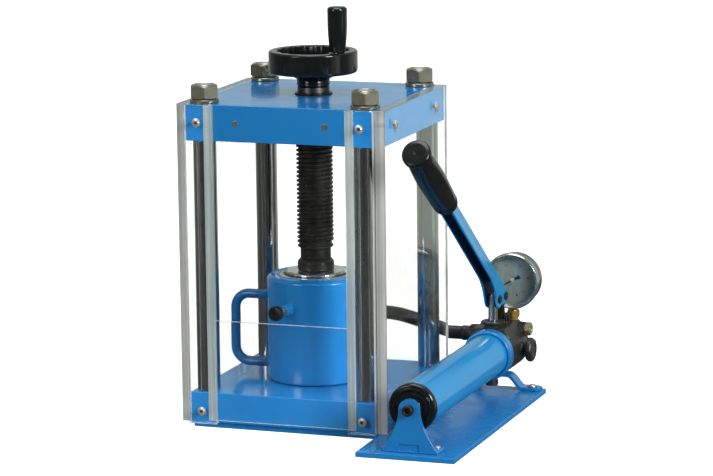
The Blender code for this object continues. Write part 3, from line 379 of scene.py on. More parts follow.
def block(low, high, edge, segments=3):
    form = bmesh.new()
    low = Vector(low)
    high = Vector(high)
    size = Matrix.Translation((low + high) / 2) @ Matrix.Diagonal((*(high - low), 1.0))
    made = bmesh.ops.create_cube(form, size=1.0, matrix=size)
    edges = list({link for vert in made["verts"] for link in vert.link_edges})
    if edge:
        bmesh.ops.bevel(
            form, geom=edges, offset=edge, segments=segments, profile=0.5, affect="EDGES"
        )
    return form


def slab(outline, low, high, edge, segments=3):
    """A flat outline in local X and Y between two heights, with rounded edges."""
    form = bmesh.new()
    floor = [form.verts.new((x, y, low)) for x, y in outline]
    roof = [form.verts.new((x, y, high)) for x, y in outline]
    form.faces.new(list(reversed(floor)))
    form.faces.new(roof)
    count = len(outline)
    rims = []
    for index in range(count):
        after = (index + 1) % count
        face = form.faces.new((floor[index], floor[after], roof[after], roof[index]))
        rims += [e for e in face.edges if abs(e.verts[0].co.z - e.verts[1].co.z) < 1e-9]
    if edge:
        rims = list(set(rims))
        bmesh.ops.bevel(form, geom=rims, offset=edge, segments=segments, profile=0.5, affect="EDGES")
    return form


def arc(centre, radius, start, end, steps):
    angles = [math.radians(start + (end - start) * step / steps) for step in range(steps + 1)]
    return [(centre[0] + radius * math.cos(a), centre[1] + radius * math.sin(a)) for a in angles]


def as_object(form):
    mesh = bpy.data.meshes.new("working")
    bmesh.ops.recalc_face_normals(form, faces=form.faces)
    form.to_mesh(mesh)
    form.free()
    made = bpy.data.objects.new("working", mesh)
    SCENE.collection.objects.link(made)
    return made


def worked(made):
    """The bmesh of an object with its modifiers carried out, and the object removed."""
    graph = bpy.context.evaluated_depsgraph_get()
    mesh = bpy.data.meshes.new_from_object(made.evaluated_get(graph), depsgraph=graph)
    form = bmesh.new()
    form.from_mesh(mesh)
    bpy.data.meshes.remove(mesh)
    bpy.data.objects.remove(made)
    return form


def combined(form, other, operation):
    """Two closed forms joined or cut by a Boolean."""
    made = as_object(form)
    tool = as_object(other)
    step = made.modifiers.new("Boolean", "BOOLEAN")
    step.operation = operation
    step.solver = "EXACT"
    step.object = tool
    bpy.context.view_layer.update()
    form = worked(made)
    bpy.data.objects.remove(tool)
    return form


def moved(form, pose):
    bmesh.ops.transform(form, matrix=pose, verts=form.verts)
    return form


def skinned(form, rows):
    """Faces between rows of points that each close on themselves, and a cap at each end."""
    for before, after in zip(rows, rows[1:]):
        for index in range(len(before)):
            beside = (index + 1) % len(before)
            form.faces.new((before[index], before[beside], after[beside], after[index]))
    form.faces.new(list(reversed(rows[0])))
    form.faces.new(rows[-1])
    return form


def drilled(form, radius, origin, direction=UP, low=-0.02, high=0.02, steps=40):
    """A form with a round hole through it, from low to high along a direction."""
    tool = lathe([(0.0, low), (radius, low), (radius, high), (0.0, high)], steps)
    return combined(form, moved(tool, toward(origin, direction)), "DIFFERENCE")


def thread(form, core, crest, pitch, low, high, steps=56, root_share=0.86, crest_share=0.30):
    """A helical ridge on a core that it sinks into, fading in and out over a third of a turn."""
    turns = (high - low) / pitch - 1
    total = int(turns * steps)
    rows = []
    for index in range(total + 1):
        angle = 2 * math.pi * index / steps
        z = low + pitch * (0.5 + index / steps)
        fade = min(1.0, index / (steps / 3), (total - index) / (steps / 3))
        top = core + (crest - core) * fade
        section = [
            (core - 0.0006, -root_share / 2), (top, -crest_share / 2), (top, crest_share / 2),
            (core - 0.0006, root_share / 2),
        ]
        rows.append(
            [
                form.verts.new((r * math.cos(angle), r * math.sin(angle), z + offset * pitch))
                for r, offset in section
            ]
        )
    return skinned(form, rows)


def swept(points, radius, sides):
    """A round bar along a line of points, with flat ends."""
    form = bmesh.new()
    points = [Vector(point) for point in points]
    rows = []
    side = None
    for index, point in enumerate(points):
        after = points[min(index + 1, len(points) - 1)]
        before = points[max(index - 1, 0)]
        along = (after - before).normalized()
        if side is None:
            side = along.orthogonal().normalized()
        side = (side - along * side.dot(along)).normalized()
        other = along.cross(side)
        angles = [2 * math.pi * step / sides for step in range(sides)]
        ring = [side * radius * math.cos(a) + other * radius * math.sin(a) for a in angles]
        rows.append([form.verts.new(point + offset) for offset in ring])
    return skinned(form, rows)


def smooth_route(stops, spacing):
    """Evenly spaced points on a smooth curve through the stops of a route."""
    stops = [Vector(stop) for stop in stops]
    ends = [2 * stops[0] - stops[1], *stops, 2 * stops[-1] - stops[-2]]
    fine = []
    for a, b, c, d in zip(ends, ends[1:], ends[2:], ends[3:]):
        for step in range(24):
            t = step / 24
            bend = (2 * a - 5 * b + 4 * c - d) * t * t + (3 * b - a - 3 * c + d) * t**3
            fine.append(0.5 * (2 * b + (c - a) * t + bend))
    fine.append(stops[-1])
    length = sum((q - p).length for p, q in zip(fine, fine[1:]))
    count = round(length / spacing)
    points = [fine[0]]
    walked = 0.0
    for p, q in zip(fine, fine[1:]):
        walked += (q - p).length
        if walked >= length * len(points) / count and len(points) < count:
            points.append(q)
    points.append(fine[-1])
    return points


def six_sided(radius, across, above=-1.0):
    """A lathe shape that makes the corners at one radius a hexagon, above one height."""

    def sides(angle, r, h):
        return (hexagon(angle, across), h) if abs(r - radius) < 1e-9 and h > above else (r, h)

    return sides


def socket_screw(name, origin, direction, radius, height, socket, twist=0.0):
    """A button head with a hexagon socket, whose floor is a darker, bronze-toned piece: painted shade
    at the bottom of the socket.
    """
    depth = height * 0.62
    profile = [
        (0.0, height - depth), (socket / 2, height - depth), (socket / 2, height),
        (socket * 0.62, height), (radius * 0.70, height * 0.90, 0.0006),
        (radius * 0.96, height * 0.42, 0.0006), (radius, 0.0), (0.0, 0.0),
    ]
    sides = six_sided(socket / 2, socket)
    turned(name, profile, 72, origin, direction, "screw", twist=twist, shape=sides)
    base = Vector(origin) + Vector(direction) * (height - depth)
    # The socket floor: a thin dark disc, painted shade.
    floor = [(0.0, 0.0), (socket * 0.5, 0.0), (socket * 0.5, 0.0003), (0.0, 0.0001)]
    turned(name + "_socket", floor, 6, base, direction, "socket", twist=twist)


def turned(
    name, profile, steps, origin, direction, look, stands_for=(), body="frame", twist=0.0, **options
):
    """A lathed piece at an origin, its axis along a direction."""
    pose = toward(origin, direction, twist)
    return piece(name, lathe(profile, steps, **options), pose, look, stands_for, body)


def middle(node):
    low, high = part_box(node)
    return (low + high) / 2


# Base and frame plates

BASE_LOW, BASE_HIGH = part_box("base_plate")
BOTTOM_LOW, BOTTOM_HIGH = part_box("bottom_plate")
TOP_LOW, TOP_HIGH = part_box("top_plate")
STEP_X = 0.113
STEP_Y = -0.108


def build_plates():
    outline = [
        (BASE_LOW.x, STEP_Y), (STEP_X, STEP_Y), (STEP_X, BASE_LOW.y), (BASE_HIGH.x, BASE_LOW.y),
        (BASE_HIGH.x, BASE_HIGH.y), (BASE_LOW.x, BASE_HIGH.y),
    ]
    base = slab(outline, BASE_LOW.z, BASE_HIGH.z, 0.0007)
    piece("base_sheet", base, IDENTITY, "paint_base", ["base_plate"])
    piece("bottom_slab", block(BOTTOM_LOW, BOTTOM_HIGH, 0.0009), IDENTITY, "paint", ["bottom_plate"])
    foot = (0.0, 0.0, TOP_LOW.z)
    top = drilled(block(TOP_LOW, TOP_HIGH, 0.0009), 0.0219, foot, high=0.09, steps=96)
    top = drilled(top, 0.0283, foot, high=0.0333, steps=96)
    piece("top_slab", top, IDENTITY, "paint", ["top_plate"], sharp=30)
    plug = [(0.0, -0.002), (0.0035, -0.002), (0.0035, 0.0002, 0.0001), (0.0032, 0.0003), (0.0, 0.0003)]
    for side, x in (("left", -0.053), ("right", 0.053)):
        spot = (x, TOP_LOW.y, (TOP_LOW.z + TOP_HIGH.z) / 2)
        turned("plate_plug_" + side, plug, 48, spot, OPERATOR, "nickel")


def build_bush():
    low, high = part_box("screw_bush")
    profile = [
        (0.0280, 0.0, 0.0006), (0.0280, high.z - low.z, 0.0006), (0.0213, high.z - low.z, 0.0004),
        (0.0213, 0.0, 0.0008),
    ]
    turned("bush_sleeve", profile, 96, (0, 0, low.z), UP, "brass", ["screw_bush"], closed=True)


CORNERS = ("front_left", "front_right", "rear_left", "rear_right")
NUT_TURNS = {"front_left": 22.5, "front_right": 19.5, "rear_left": 5, "rear_right": 17}


def build_columns():
    for corner in CORNERS:
        node = "column_" + corner
        low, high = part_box(node)
        spot = middle(node)
        floor = BOTTOM_HIGH.z + 0.0003 - low.z
        roof = TOP_LOW.z - 0.0003 - low.z
        tip = high.z - low.z - 0.0012
        profile = [
            (0.0, 0.0), (0.0100, 0.0, 0.001), (0.0100, floor), (0.0119, floor),
            (0.0125, floor + 0.0006, 0.0003), (0.0125, roof - 0.0006, 0.0003), (0.0119, roof),
            (0.0092, roof), (0.0092, tip - 0.0009, 0.0003), (0.0083, tip, 0.0003), (0.0, tip),
        ]
        bar = lathe(profile, 96)
        thread(bar, 0.0092, 0.0100, 0.0025, roof + 0.012, tip + 0.0002, 40)
        piece(corner + "_column", bar, toward((spot.x, spot.y, low.z)), "bar", [node])


def build_nuts():
    for corner in CORNERS:
        low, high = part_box("nut_" + corner)
        spot = middle("column_" + corner)
        tall = high.z - low.z
        across = 0.030
        face = across * 0.445
        slope = math.tan(math.radians(30.0))

        def sides(angle, r, z, across=across, face=face, tall=tall, slope=slope):
            if r < across / 2 - 1e-6:
                return r, z
            reach = hexagon(angle, across)
            drop = (reach - face) * slope
            return reach, (tall - drop if z > tall / 2 else drop)

        profile = [
            (0.0103, 0.0006), (0.0103, tall - 0.0006), (0.0110, tall), (face, tall),
            (across / 2, tall), (across / 2, 0.0), (face, 0.0), (0.0110, 0.0),
        ]
        form = lathe(profile, 144, closed=True, shape=sides)
        pose = toward((spot.x, spot.y, low.z), UP, NUT_TURNS[corner])
        piece(corner + "_nut", form, pose, "nickel", ["nut_" + corner], sharp=20)
        build_split_washer(corner, spot)


def build_split_washer(corner, spot):
    low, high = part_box("washer_" + corner)
    tall = high.z - low.z
    form = bmesh.new()
    steps = 88
    gap = 0.065
    section = [(0.0106, 0.0004), (0.0110, 0.0), (0.0160, 0.0), (0.0164, 0.0005)]
    section += [(0.0164, tall - 0.0005), (0.0160, tall), (0.0110, tall), (0.0106, tall - 0.0004)]
    rows = []
    for step in range(steps + 1):
        angle = gap + (2 * math.pi - 2 * gap) * step / steps
        rows.append([form.verts.new((r * math.cos(angle), r * math.sin(angle), z)) for r, z in section])
    pose = toward((spot.x, spot.y, low.z))
    piece(corner + "_washer", skinned(form, rows), pose, "nickel", ["washer_" + corner])


# Clear guard


def edges_differ(made, look, flat_axis):
    """Gives the faces that don't face along the sheet's thickness a second look; with the sawn look,
    the upward ones get a darker, blue-grey copy of it instead, painted shade.
    """
    made.data.materials.append(LOOKS[look].material)
    made.data.materials.append(LOOKS["sawn_top"].material)
    for face in made.data.polygons:
        if abs(face.normal[flat_axis]) < 0.5:
            face.material_index = 2 if face.normal.z > 0.5 and look == "sawn" else 1


def build_guard():
    for side in ("left", "right"):
        low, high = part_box("side_panel_" + side)
        form = block(low, high, 0.0005, 2)
        made = piece("panel_" + side, form, IDENTITY, "acrylic_side", ["side_panel_" + side])
        edges_differ(made, "sawn", 0)
        build_front_strip(side)
        outward = RIGHT if side == "right" else -RIGHT
        x = high.x if side == "right" else low.x
        for y in (-0.072, 0.072):
            for z in (TOP_HIGH.z - 0.020, BOTTOM_LOW.z + 0.0145):
                level = "top" if z > 0.2 else "bottom"
                place = "rear" if y > 0 else "front"
                name = f"panel_screw_{side}_{place}_{level}"
                socket_screw(name, (x, y, z), outward, 0.0056, 0.0020, 0.0030)
                shank = lathe([(0.0, -0.0125), (0.0022, -0.0125), (0.0022, 0.0), (0.0, 0.0)], 32)
                piece(name + "_shank", shank, toward((x, y, z), outward), "nickel")
    low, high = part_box("front_door")
    form = block(low, high, 0.0003, 2)
    made = piece("sliding_door", form, IDENTITY, "acrylic", ["front_door"], "door")
    # The door's edges take the lighter edge look, partly a painted highlight.
    edges_differ(made, "door_edge", 1)


def build_front_strip(side):
    node = "front_strip_" + side
    low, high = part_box(node)
    inner = max(low.x, min(high.x, 0.0))
    sign = 1.0 if inner > 0 else -1.0
    groove_y = (low.y + high.y) / 2
    form = block(low, high, 0.0005, 2)
    ends = sorted((inner - 0.010 * sign, inner + 0.009 * sign))
    cutter = block(
        (ends[0], groove_y - 0.0018, low.z + 0.004),
        (ends[1], groove_y + 0.0018, high.z + 0.010),
        0,
    )
    form = combined(form, cutter, "DIFFERENCE")
    made = piece("strip_" + side, form, IDENTITY, "acrylic", [node])
    edges_differ(made, "sawn", 1)
    made.data.materials.append(LOOKS["frosted"].material)
    for face in made.data.polygons:
        spot = face.center
        within = abs(spot.x - inner) < 0.0095 and abs(spot.y - groove_y) < 0.00185
        if within:
            face.material_index = 3
    for level in ("bottom", "top"):
        screw = f"strip_screw_{side}_{level}"
        spot = middle(screw)
        origin = (spot.x, low.y - 0.0003, spot.z)
        socket_screw(screw + "_head", origin, OPERATOR, 0.0041, 0.0020, 0.0040, twist=17.0)
        shank = lathe([(0.0, -0.0125), (0.0025, -0.0125, 0.0004), (0.0025, 0.0001), (0.0, 0.0001)], 40)
        piece(screw + "_shank", shank, toward(origin, OPERATOR), "nickel", [screw])
        rim = [(0.0040, -0.0003), (0.0050, -0.0003), (0.0050, 0.0002, 0.0001), (0.0040, 0.0004)]
        turned(screw + "_washer", rim, 56, origin, OPERATOR, "screw", closed=True)


# Lead screw, pad, handwheel and crank

SCREW_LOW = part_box("lead_screw")[0]
PAD_LOW, PAD_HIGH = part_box("pressure_pad")
WHEEL_LOW, WHEEL_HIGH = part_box("handwheel")
LEAD = 0.005


def build_screw():
    foot = PAD_HIGH.z + 0.0003
    neck = foot + 0.0125
    ledge = TOP_HIGH.z + 0.002
    seat = WHEEL_LOW.z - 0.0003
    core = 0.0184
    profile = [
        (0.0, SCREW_LOW.z), (0.0090, SCREW_LOW.z, 0.0008), (0.0090, foot), (0.0168, foot),
        (0.0175, foot + 0.0008, 0.0004), (0.0175, neck, 0.0006), (0.0205, neck + 0.0012, 0.0005),
        (0.0205, neck + 0.0030, 0.0005), (core, neck + 0.0045, 0.0005), (core, ledge - 0.0016),
        (0.0208, ledge - 0.0012, 0.0002), (0.0210, ledge, 0.0002), (0.0180, ledge + 0.0002),
        (0.0, ledge + 0.0002),
    ]
    form = lathe(profile, 112)
    thread(form, core, 0.0210, LEAD, neck + 0.002, ledge - 0.0012, 72, 0.80, 0.34)
    piece("screw_rod", form, IDENTITY, "oxide", ["lead_screw"], "screw")
    spindle = [
        (0.0, ledge), (0.0178, ledge), (0.0182, ledge + 0.0006, 0.0003),
        (0.0182, seat - 0.0005, 0.0003), (0.0177, seat), (0.0120, seat),
        (0.0120, seat + 0.0240, 0.0006), (0.0, seat + 0.0240),
    ]
    piece("screw_spindle", lathe(spindle, 112), IDENTITY, "spindle", body="screw")
    pad = [
        (0.0, PAD_LOW.z), (0.0200, PAD_LOW.z), (0.0210, PAD_LOW.z + 0.0010, 0.0005),
        (0.0210, PAD_HIGH.z - 0.0034, 0.0006), (0.0182, PAD_HIGH.z, 0.0006),
        (0.0093, PAD_HIGH.z, 0.0003), (0.0093, PAD_HIGH.z - 0.0062), (0.0, PAD_HIGH.z - 0.0062),
    ]
    piece("pad_disc", lathe(pad, 112), IDENTITY, "oxide", ["pressure_pad"], "pad")


CRANK = middle("crank_pin")


def build_handwheel():
    z = WHEEL_LOW.z
    roof = WHEEL_HIGH.z - z
    lobes = 16

    def scallops(angle, r, h):
        if 0.0365 < r < 0.0428 and h > 0.0222:
            deep = 0.0030 * (1.0 - abs(math.sin(lobes * angle / 2 + 0.3)))
            return r - deep * min(1.0, (h - 0.0222) / 0.006), h
        return r, h

    profile = [
        (0.0123, 0.0005), (0.0123, 0.0245), (0.0130, 0.0262, 0.0004), (0.0160, 0.0262, 0.0008),
        (0.0176, 0.0238, 0.0008), (0.0225, 0.0228, 0.0006), (0.0235, 0.0212, 0.0006),
        (0.0330, 0.0208, 0.0010), (0.0390, 0.0225, 0.0014), (0.0405, 0.0260, 0.0010),
        (0.0412, 0.0340, 0.0010), (0.0418, roof - 0.0010, 0.0008), (0.0428, roof, 0.0006),
        (0.0494, roof, 0.0008), (0.0507, roof - 0.0015, 0.0010), (0.0507, 0.0300),
        (0.0507, 0.0178, 0.0020), (0.0490, 0.0156, 0.0020), (0.0330, 0.0138, 0.0060),
        (0.0225, 0.0104, 0.0050), (0.0182, 0.0074, 0.0012), (0.0187, 0.0052, 0.0010),
        (0.0187, 0.0012, 0.0010), (0.0172, 0.0, 0.0006), (0.0128, 0.0),
    ]
    wheel = lathe(profile, 200, closed=True, shape=scallops)
    spot = (CRANK.x, CRANK.y, 0.0)
    rim = roof - 0.0004
    boss = lathe([(0.0, 0.0180), (0.0106, 0.0180), (0.0106, rim, 0.0012), (0.0, rim)], 72)
    wheel = combined(wheel, moved(boss, toward(spot)), "UNION")
    piece("wheel_rim", wheel, toward((0, 0, z)), "gloss_black", ["handwheel"], "screw", sharp=38)
    bolt = [
        (0.0, 0.0), (0.0100, 0.0), (0.0100, 0.0016, 0.0005), (0.0062, 0.0018),
        (0.0062, 0.0062, 0.0008), (0.0, 0.0066),
    ]
    head = six_sided(0.0062, 0.0115, 0.0017)
    turned("wheel_bolt", bolt, 96, (0, 0, z + 0.0245), UP, "oxide", body="screw", twist=12, shape=head)


def build_crank():
    low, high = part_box("crank_grip")
    pin_low, pin_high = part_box("crank_pin")
    pin = [
        (0.0, 0.0), (0.0040, 0.0, 0.0004), (0.0040, pin_high.z - pin_low.z, 0.0004),
        (0.0, pin_high.z - pin_low.z),
    ]
    spot = (CRANK.x, CRANK.y, pin_low.z)
    turned("crank_axle", pin, 56, spot, UP, "steel", ["crank_pin"], "screw")
    tall = high.z - low.z
    bore = pin_high.z - low.z + 0.0003
    grip = [
        (0.0, bore), (0.0043, bore), (0.0043, 0.0, 0.0003), (0.0080, 0.0, 0.0006),
        (0.0088, 0.0009, 0.0004), (0.0091, 0.0035, 0.0008), (0.0099, 0.0110, 0.003),
        (0.0107, 0.0200, 0.004), (0.0111, 0.0310, 0.004), (0.0111, 0.0440, 0.003),
        (0.0113, tall - 0.0046, 0.0010), (0.0110, tall - 0.0022, 0.0009),
        (0.0092, tall - 0.0006, 0.0010), (0.0055, tall - 0.0002, 0.0010), (0.0, tall),
    ]
    spot = (CRANK.x, CRANK.y, low.z)
    turned("crank_handle", grip, 96, spot, UP, "gloss_black", ["crank_grip"], "grip")


# Hydraulic jack

JACK_LOW, JACK_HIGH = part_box("jack_body")
RAM_LOW, RAM_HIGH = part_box("ram")


def build_jack():
    tall = JACK_HIGH.z - JACK_LOW.z
    body = [
        (0.0, 0.0), (0.0540, 0.0, 0.001), (0.0560, 0.0020, 0.001), (0.0560, tall - 0.0038, 0.0012),
        (0.0528, tall - 0.0006, 0.0010), (0.0455, tall, 0.0006), (0.0449, tall - 0.0008, 0.0003),
        (0.0440, tall - 0.0008, 0.0003), (0.0434, tall, 0.0003), (0.0418, tall, 0.0003),
        (0.0418, tall - 0.0083), (0.0353, tall - 0.0083), (0.0353, RAM_LOW.z - JACK_LOW.z - 0.0003),
        (0.0, RAM_LOW.z - JACK_LOW.z - 0.0003),
    ]
    turned("jack_cylinder", body, 160, (0, 0, JACK_LOW.z), UP, "paint", ["jack_body"])
    gland = [
        (0.0415, tall - 0.0080), (0.0415, tall - 0.0002, 0.0005), (0.0386, tall - 0.0002, 0.0003),
        (0.0384, tall - 0.0010, 0.0002), (0.0378, tall - 0.0010, 0.0002),
        (0.0376, tall - 0.0002, 0.0003), (0.0368, tall - 0.0002, 0.0004), (0.0353, tall - 0.0016),
        (0.0353, tall - 0.0080),
    ]
    ring = lathe(gland, 160, closed=True)
    piece("jack_gland", ring, toward((0, 0, JACK_LOW.z)), "screw", ["gland_ring"])
    wiper = [
        (0.0352, tall - 0.0012), (0.0352, tall + 0.0003, 0.0002), (0.0366, tall + 0.0005, 0.0003),
        (0.0375, tall - 0.0004, 0.0003), (0.0372, tall - 0.0012),
    ]
    turned("jack_wiper", wiper, 160, (0, 0, JACK_LOW.z), UP, "hose", closed=True)
    high = RAM_HIGH.z - RAM_LOW.z
    ram = [
        (0.0, 0.0), (0.0345, 0.0, 0.0006), (0.0350, 0.0010, 0.0005),
        (0.0350, high - 0.0016, 0.0006), (0.0336, high, 0.0005), (0.0228, high, 0.0002),
        (0.0226, high - 0.0004, 0.0001), (0.0220, high - 0.0004, 0.0001), (0.0218, high, 0.0002),
        (0.0, high),
    ]
    turned("jack_ram", ram, 160, (0, 0, RAM_LOW.z), UP, "ram", ["ram"], "ram")


def build_carry_handle():
    low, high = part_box("carry_handle")
    bar = 0.0055
    top = high.z - bar
    foot = low.z + bar
    far = low.x + bar
    near = -0.0552
    bend = 0.017
    upper = arc((far + bend, top - bend), bend, 90, 180, 14)
    lower = arc((far + bend, foot + bend), bend, 180, 270, 14)
    line = [(near, top), (near - 0.006, top), *upper, *lower, (near - 0.006, foot), (near, foot)]
    form = swept([(x, 0.0, z) for x, z in line], bar, 40)
    for z in (top, foot):
        form = weld_bead(form, z)
    # The handle wears the darker copy of the blue paint: painted shade.
    piece("jack_handle", form, IDENTITY, "paint_deep", ["carry_handle"], sharp=50)


def weld_bead(form, z):
    """The weld where a handle leg meets the jack: a low uneven collar."""
    random.seed(round(z * 1e4))
    bumps = [random.uniform(0.86, 1.14) for _ in range(24)]

    def uneven(angle, r, h):
        part = angle / (2 * math.pi) * 24
        near = bumps[int(part) % 24]
        after = bumps[(int(part) + 1) % 24]
        share = part - int(part)
        return 0.0052 + (r - 0.0052) * (near * (1 - share) + after * share), h

    profile = [
        (0.0, -0.0016), (0.0098, -0.0016), (0.0092, 0.0012, 0.001), (0.0066, 0.0036, 0.001),
        (0.0052, 0.0058), (0.0, 0.0058),
    ]
    bead = lathe(profile, 72, shape=uneven)
    pose = toward((-0.0552, 0.0, z), -RIGHT)
    moved(bead, pose)
    mesh = bpy.data.meshes.new("bead")
    bead.to_mesh(mesh)
    bead.free()
    form.from_mesh(mesh)
    return form


JACK_WALL = 0.0563
BLEED_ANGLE = math.radians(15.0)
BLEED_OUT = Vector((-math.sin(BLEED_ANGLE), -math.cos(BLEED_ANGLE), 0.0))


def build_bleed_screw():
    z = middle("bleed_screw").z
    start = BLEED_OUT * JACK_WALL + Vector((0.0, 0.0, z))
    stem = [
        (0.0, 0.0103), (0.0050, 0.0103), (0.0050, 0.0152, 0.0004), (0.0042, 0.0160, 0.0003),
        (0.0030, 0.0160), (0.0030, 0.0200), (0.0, 0.0200),
    ]
    sides = six_sided(0.0050, 0.0096)
    turned("bleed_nipple", stem, 72, start, BLEED_OUT, "nickel", body="bleed", shape=sides)
    boss = [
        (0.0, -0.0012), (0.0076, -0.0012), (0.0070, 0.0020, 0.0012), (0.0066, 0.0098, 0.0010),
        (0.0, 0.0100),
    ]
    turned("bleed_boss", boss, 72, start, BLEED_OUT, "paint")

    def ribs(angle, r, h):
        return (r - 0.0003 * (0.5 + 0.5 * math.cos(24 * angle)), h) if r > 0.0080 else (r, h)

    knob = [
        (0.0, 0.0186), (0.0070, 0.0186, 0.0006), (0.0086, 0.0200, 0.0008), (0.0086, 0.0268, 0.0012),
        (0.0072, 0.0280, 0.0010), (0.0030, 0.0276, 0.0006), (0.0, 0.0276),
    ]
    form = lathe(knob, 144, shape=ribs)
    piece("bleed_knob", form, toward(start, BLEED_OUT), "gloss_black", ["bleed_screw"], "bleed")


# Hose and its ends

PORT_ANGLE = math.radians(70.0)
PORT_OUT = Vector((math.cos(PORT_ANGLE), math.sin(PORT_ANGLE), 0.0))
PORT_HEIGHT = 0.1019
HOSE_DIAMETER = 0.016
JACK_END = PORT_OUT * 0.0846 + Vector((0.0, 0.0, PORT_HEIGHT))
PUMP_END = Vector((0.1274, 0.1500, 0.0700))


def hose_end(name, start, outward, length, node, look, sleeve):
    profile = [
        (0.0, 0.0), (0.0113, 0.0, 0.0005), (0.0113, length * 0.26, 0.0005),
        (0.0084, length * 0.28, 0.0002), (0.0084, length * 0.32, 0.0002),
        (sleeve, length * 0.35, 0.0006), (sleeve, length * 0.55, 0.0004),
        (sleeve - 0.0004, length * 0.55 + 0.0008, 0.0004), (sleeve, length * 0.55 + 0.0016, 0.0004),
        (sleeve, length - 0.0012, 0.0006), (sleeve - 0.0006, length, 0.0004), (0.0, length),
    ]

    def sides(angle, r, h):
        six_sided = abs(r - 0.0113) < 1e-9 or (r > 0.0110 and h < 0.0074)
        return (hexagon(angle, 0.0206), h) if six_sided else (r, h)

    turned(name, profile, 120, start, outward, look, [node], shape=sides)


def build_hose():
    start = PORT_OUT * JACK_WALL + Vector((0.0, 0.0, PORT_HEIGHT))
    hose_end("jack_hose_end", start, PORT_OUT, 0.028, "jack_coupler", "steel", 0.0104)
    hose_end("pump_hose_end", PUMP_END + RIGHT * 0.0153, -RIGHT, 0.015, "pump_coupler", "hose", 0.0089)
    stops = [
        JACK_END,
        JACK_END + PORT_OUT * 0.010,
        JACK_END + PORT_OUT * 0.020,
        (0.0395, 0.1086, 0.0985), (0.0506, 0.1278, 0.0925), (0.0676, 0.1421, 0.0840),
        (0.0830, 0.1482, 0.0775), (0.0990, 0.1500, 0.0725),
        PUMP_END - RIGHT * 0.016,
        PUMP_END - RIGHT * 0.008,
        PUMP_END,
    ]
    route = smooth_route(stops, 0.005)
    curve = bpy.data.curves.new("hose_line", "CURVE")
    curve.dimensions = "3D"
    curve.bevel_depth = HOSE_DIAMETER / 2
    curve.bevel_resolution = 9
    curve.use_fill_caps = True
    spline = curve.splines.new("POLY")
    spline.points.add(len(route) - 1)
    for point, place in zip(spline.points, route):
        point.co = (*place, 1.0)
    spline.use_smooth = True
    made = bpy.data.objects.new("hose_line", curve)
    SCENE.collection.objects.link(made)
    curve.materials.append(LOOKS["hose"].material)
    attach(made, "frame")
    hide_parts("hose")


# Hand pump

TUBE_LOW, TUBE_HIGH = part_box("reservoir_tube")
PUMP_X = (TUBE_LOW.x + TUBE_HIGH.x) / 2
PUMP_Z = (TUBE_LOW.z + TUBE_HIGH.z) / 2
RING_LOW, RING_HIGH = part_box("reservoir_ring")
CAP_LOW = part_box("reservoir_cap")[0]
CAP_FRONT = -0.172
HEAD_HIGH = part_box("pump_head")[1]
HEAD_FRONT = 0.1173
HEAD_TOP = 0.083
FULCRUM_Y = middle("fulcrum_pin").y
PLUNGER_Y = middle("plunger_pin").y
PIN_Z = middle("fulcrum_pin").z
LINK_FOOT = (middle("link_pin").y, middle("link_pin").z)
PIN_HOLE = 0.0032
LEVER_WIDTH = 0.016
CHEEK = LEVER_WIDTH / 2 + 0.0003


def build_reservoir():
    long = TUBE_HIGH.y - TUBE_LOW.y
    tube = [
        (0.0225, 0.0, 0.0003), (0.0255, 0.0, 0.0005), (0.0255, long, 0.0005),
        (0.0225, long, 0.0003),
    ]
    spot = (PUMP_X, TUBE_LOW.y, PUMP_Z)
    # The tube wears the lighter lit copy of the blue paint: painted light.
    turned("reservoir_shell", tube, 128, spot, REAR, "paint_light", ["reservoir_tube"], closed=True)
    deep = RING_HIGH.y - RING_LOW.y
    ring = [
        (0.0258, 0.0010), (0.0263, 0.0, 0.0004), (0.0282, 0.0, 0.0010), (0.0295, 0.0022, 0.0010),
        (0.0295, deep, 0.0004), (0.0258, deep),
    ]
    spot = (PUMP_X, RING_LOW.y, PUMP_Z)
    turned("reservoir_collar", ring, 128, spot, REAR, "paint", ["reservoir_ring"], closed=True)
    flange = TUBE_LOW.y - 0.0003 - CAP_FRONT
    cap = [
        (0.0043, flange + 0.0080), (0.0222, flange + 0.0080, 0.0006), (0.0222, flange),
        (0.0266, flange, 0.0006), (0.0271, flange - 0.0010, 0.0005), (0.0271, 0.0062, 0.0004),
        (0.0267, 0.0056, 0.0003), (0.0267, 0.0050, 0.0003), (0.0271, 0.0044, 0.0004),
        (0.0271, 0.0020, 0.0012), (0.0254, 0.0003, 0.0010), (0.0238, 0.0, 0.0005),
        (0.0234, 0.0009, 0.0004), (0.0224, 0.0009, 0.0004), (0.0220, 0.0, 0.0005),
        (0.0198, 0.0004, 0.0008), (0.0186, 0.0020, 0.0010), (0.0100, 0.0022, 0.0010),
        (0.0088, 0.0, 0.0008), (0.0080, CAP_LOW.y - CAP_FRONT, 0.0004), (0.0043, CAP_LOW.y - CAP_FRONT),
    ]
    spot = (PUMP_X, CAP_FRONT, PUMP_Z)
    turned("reservoir_end", cap, 144, spot, REAR, "gloss_black", ["reservoir_cap"], closed=True)


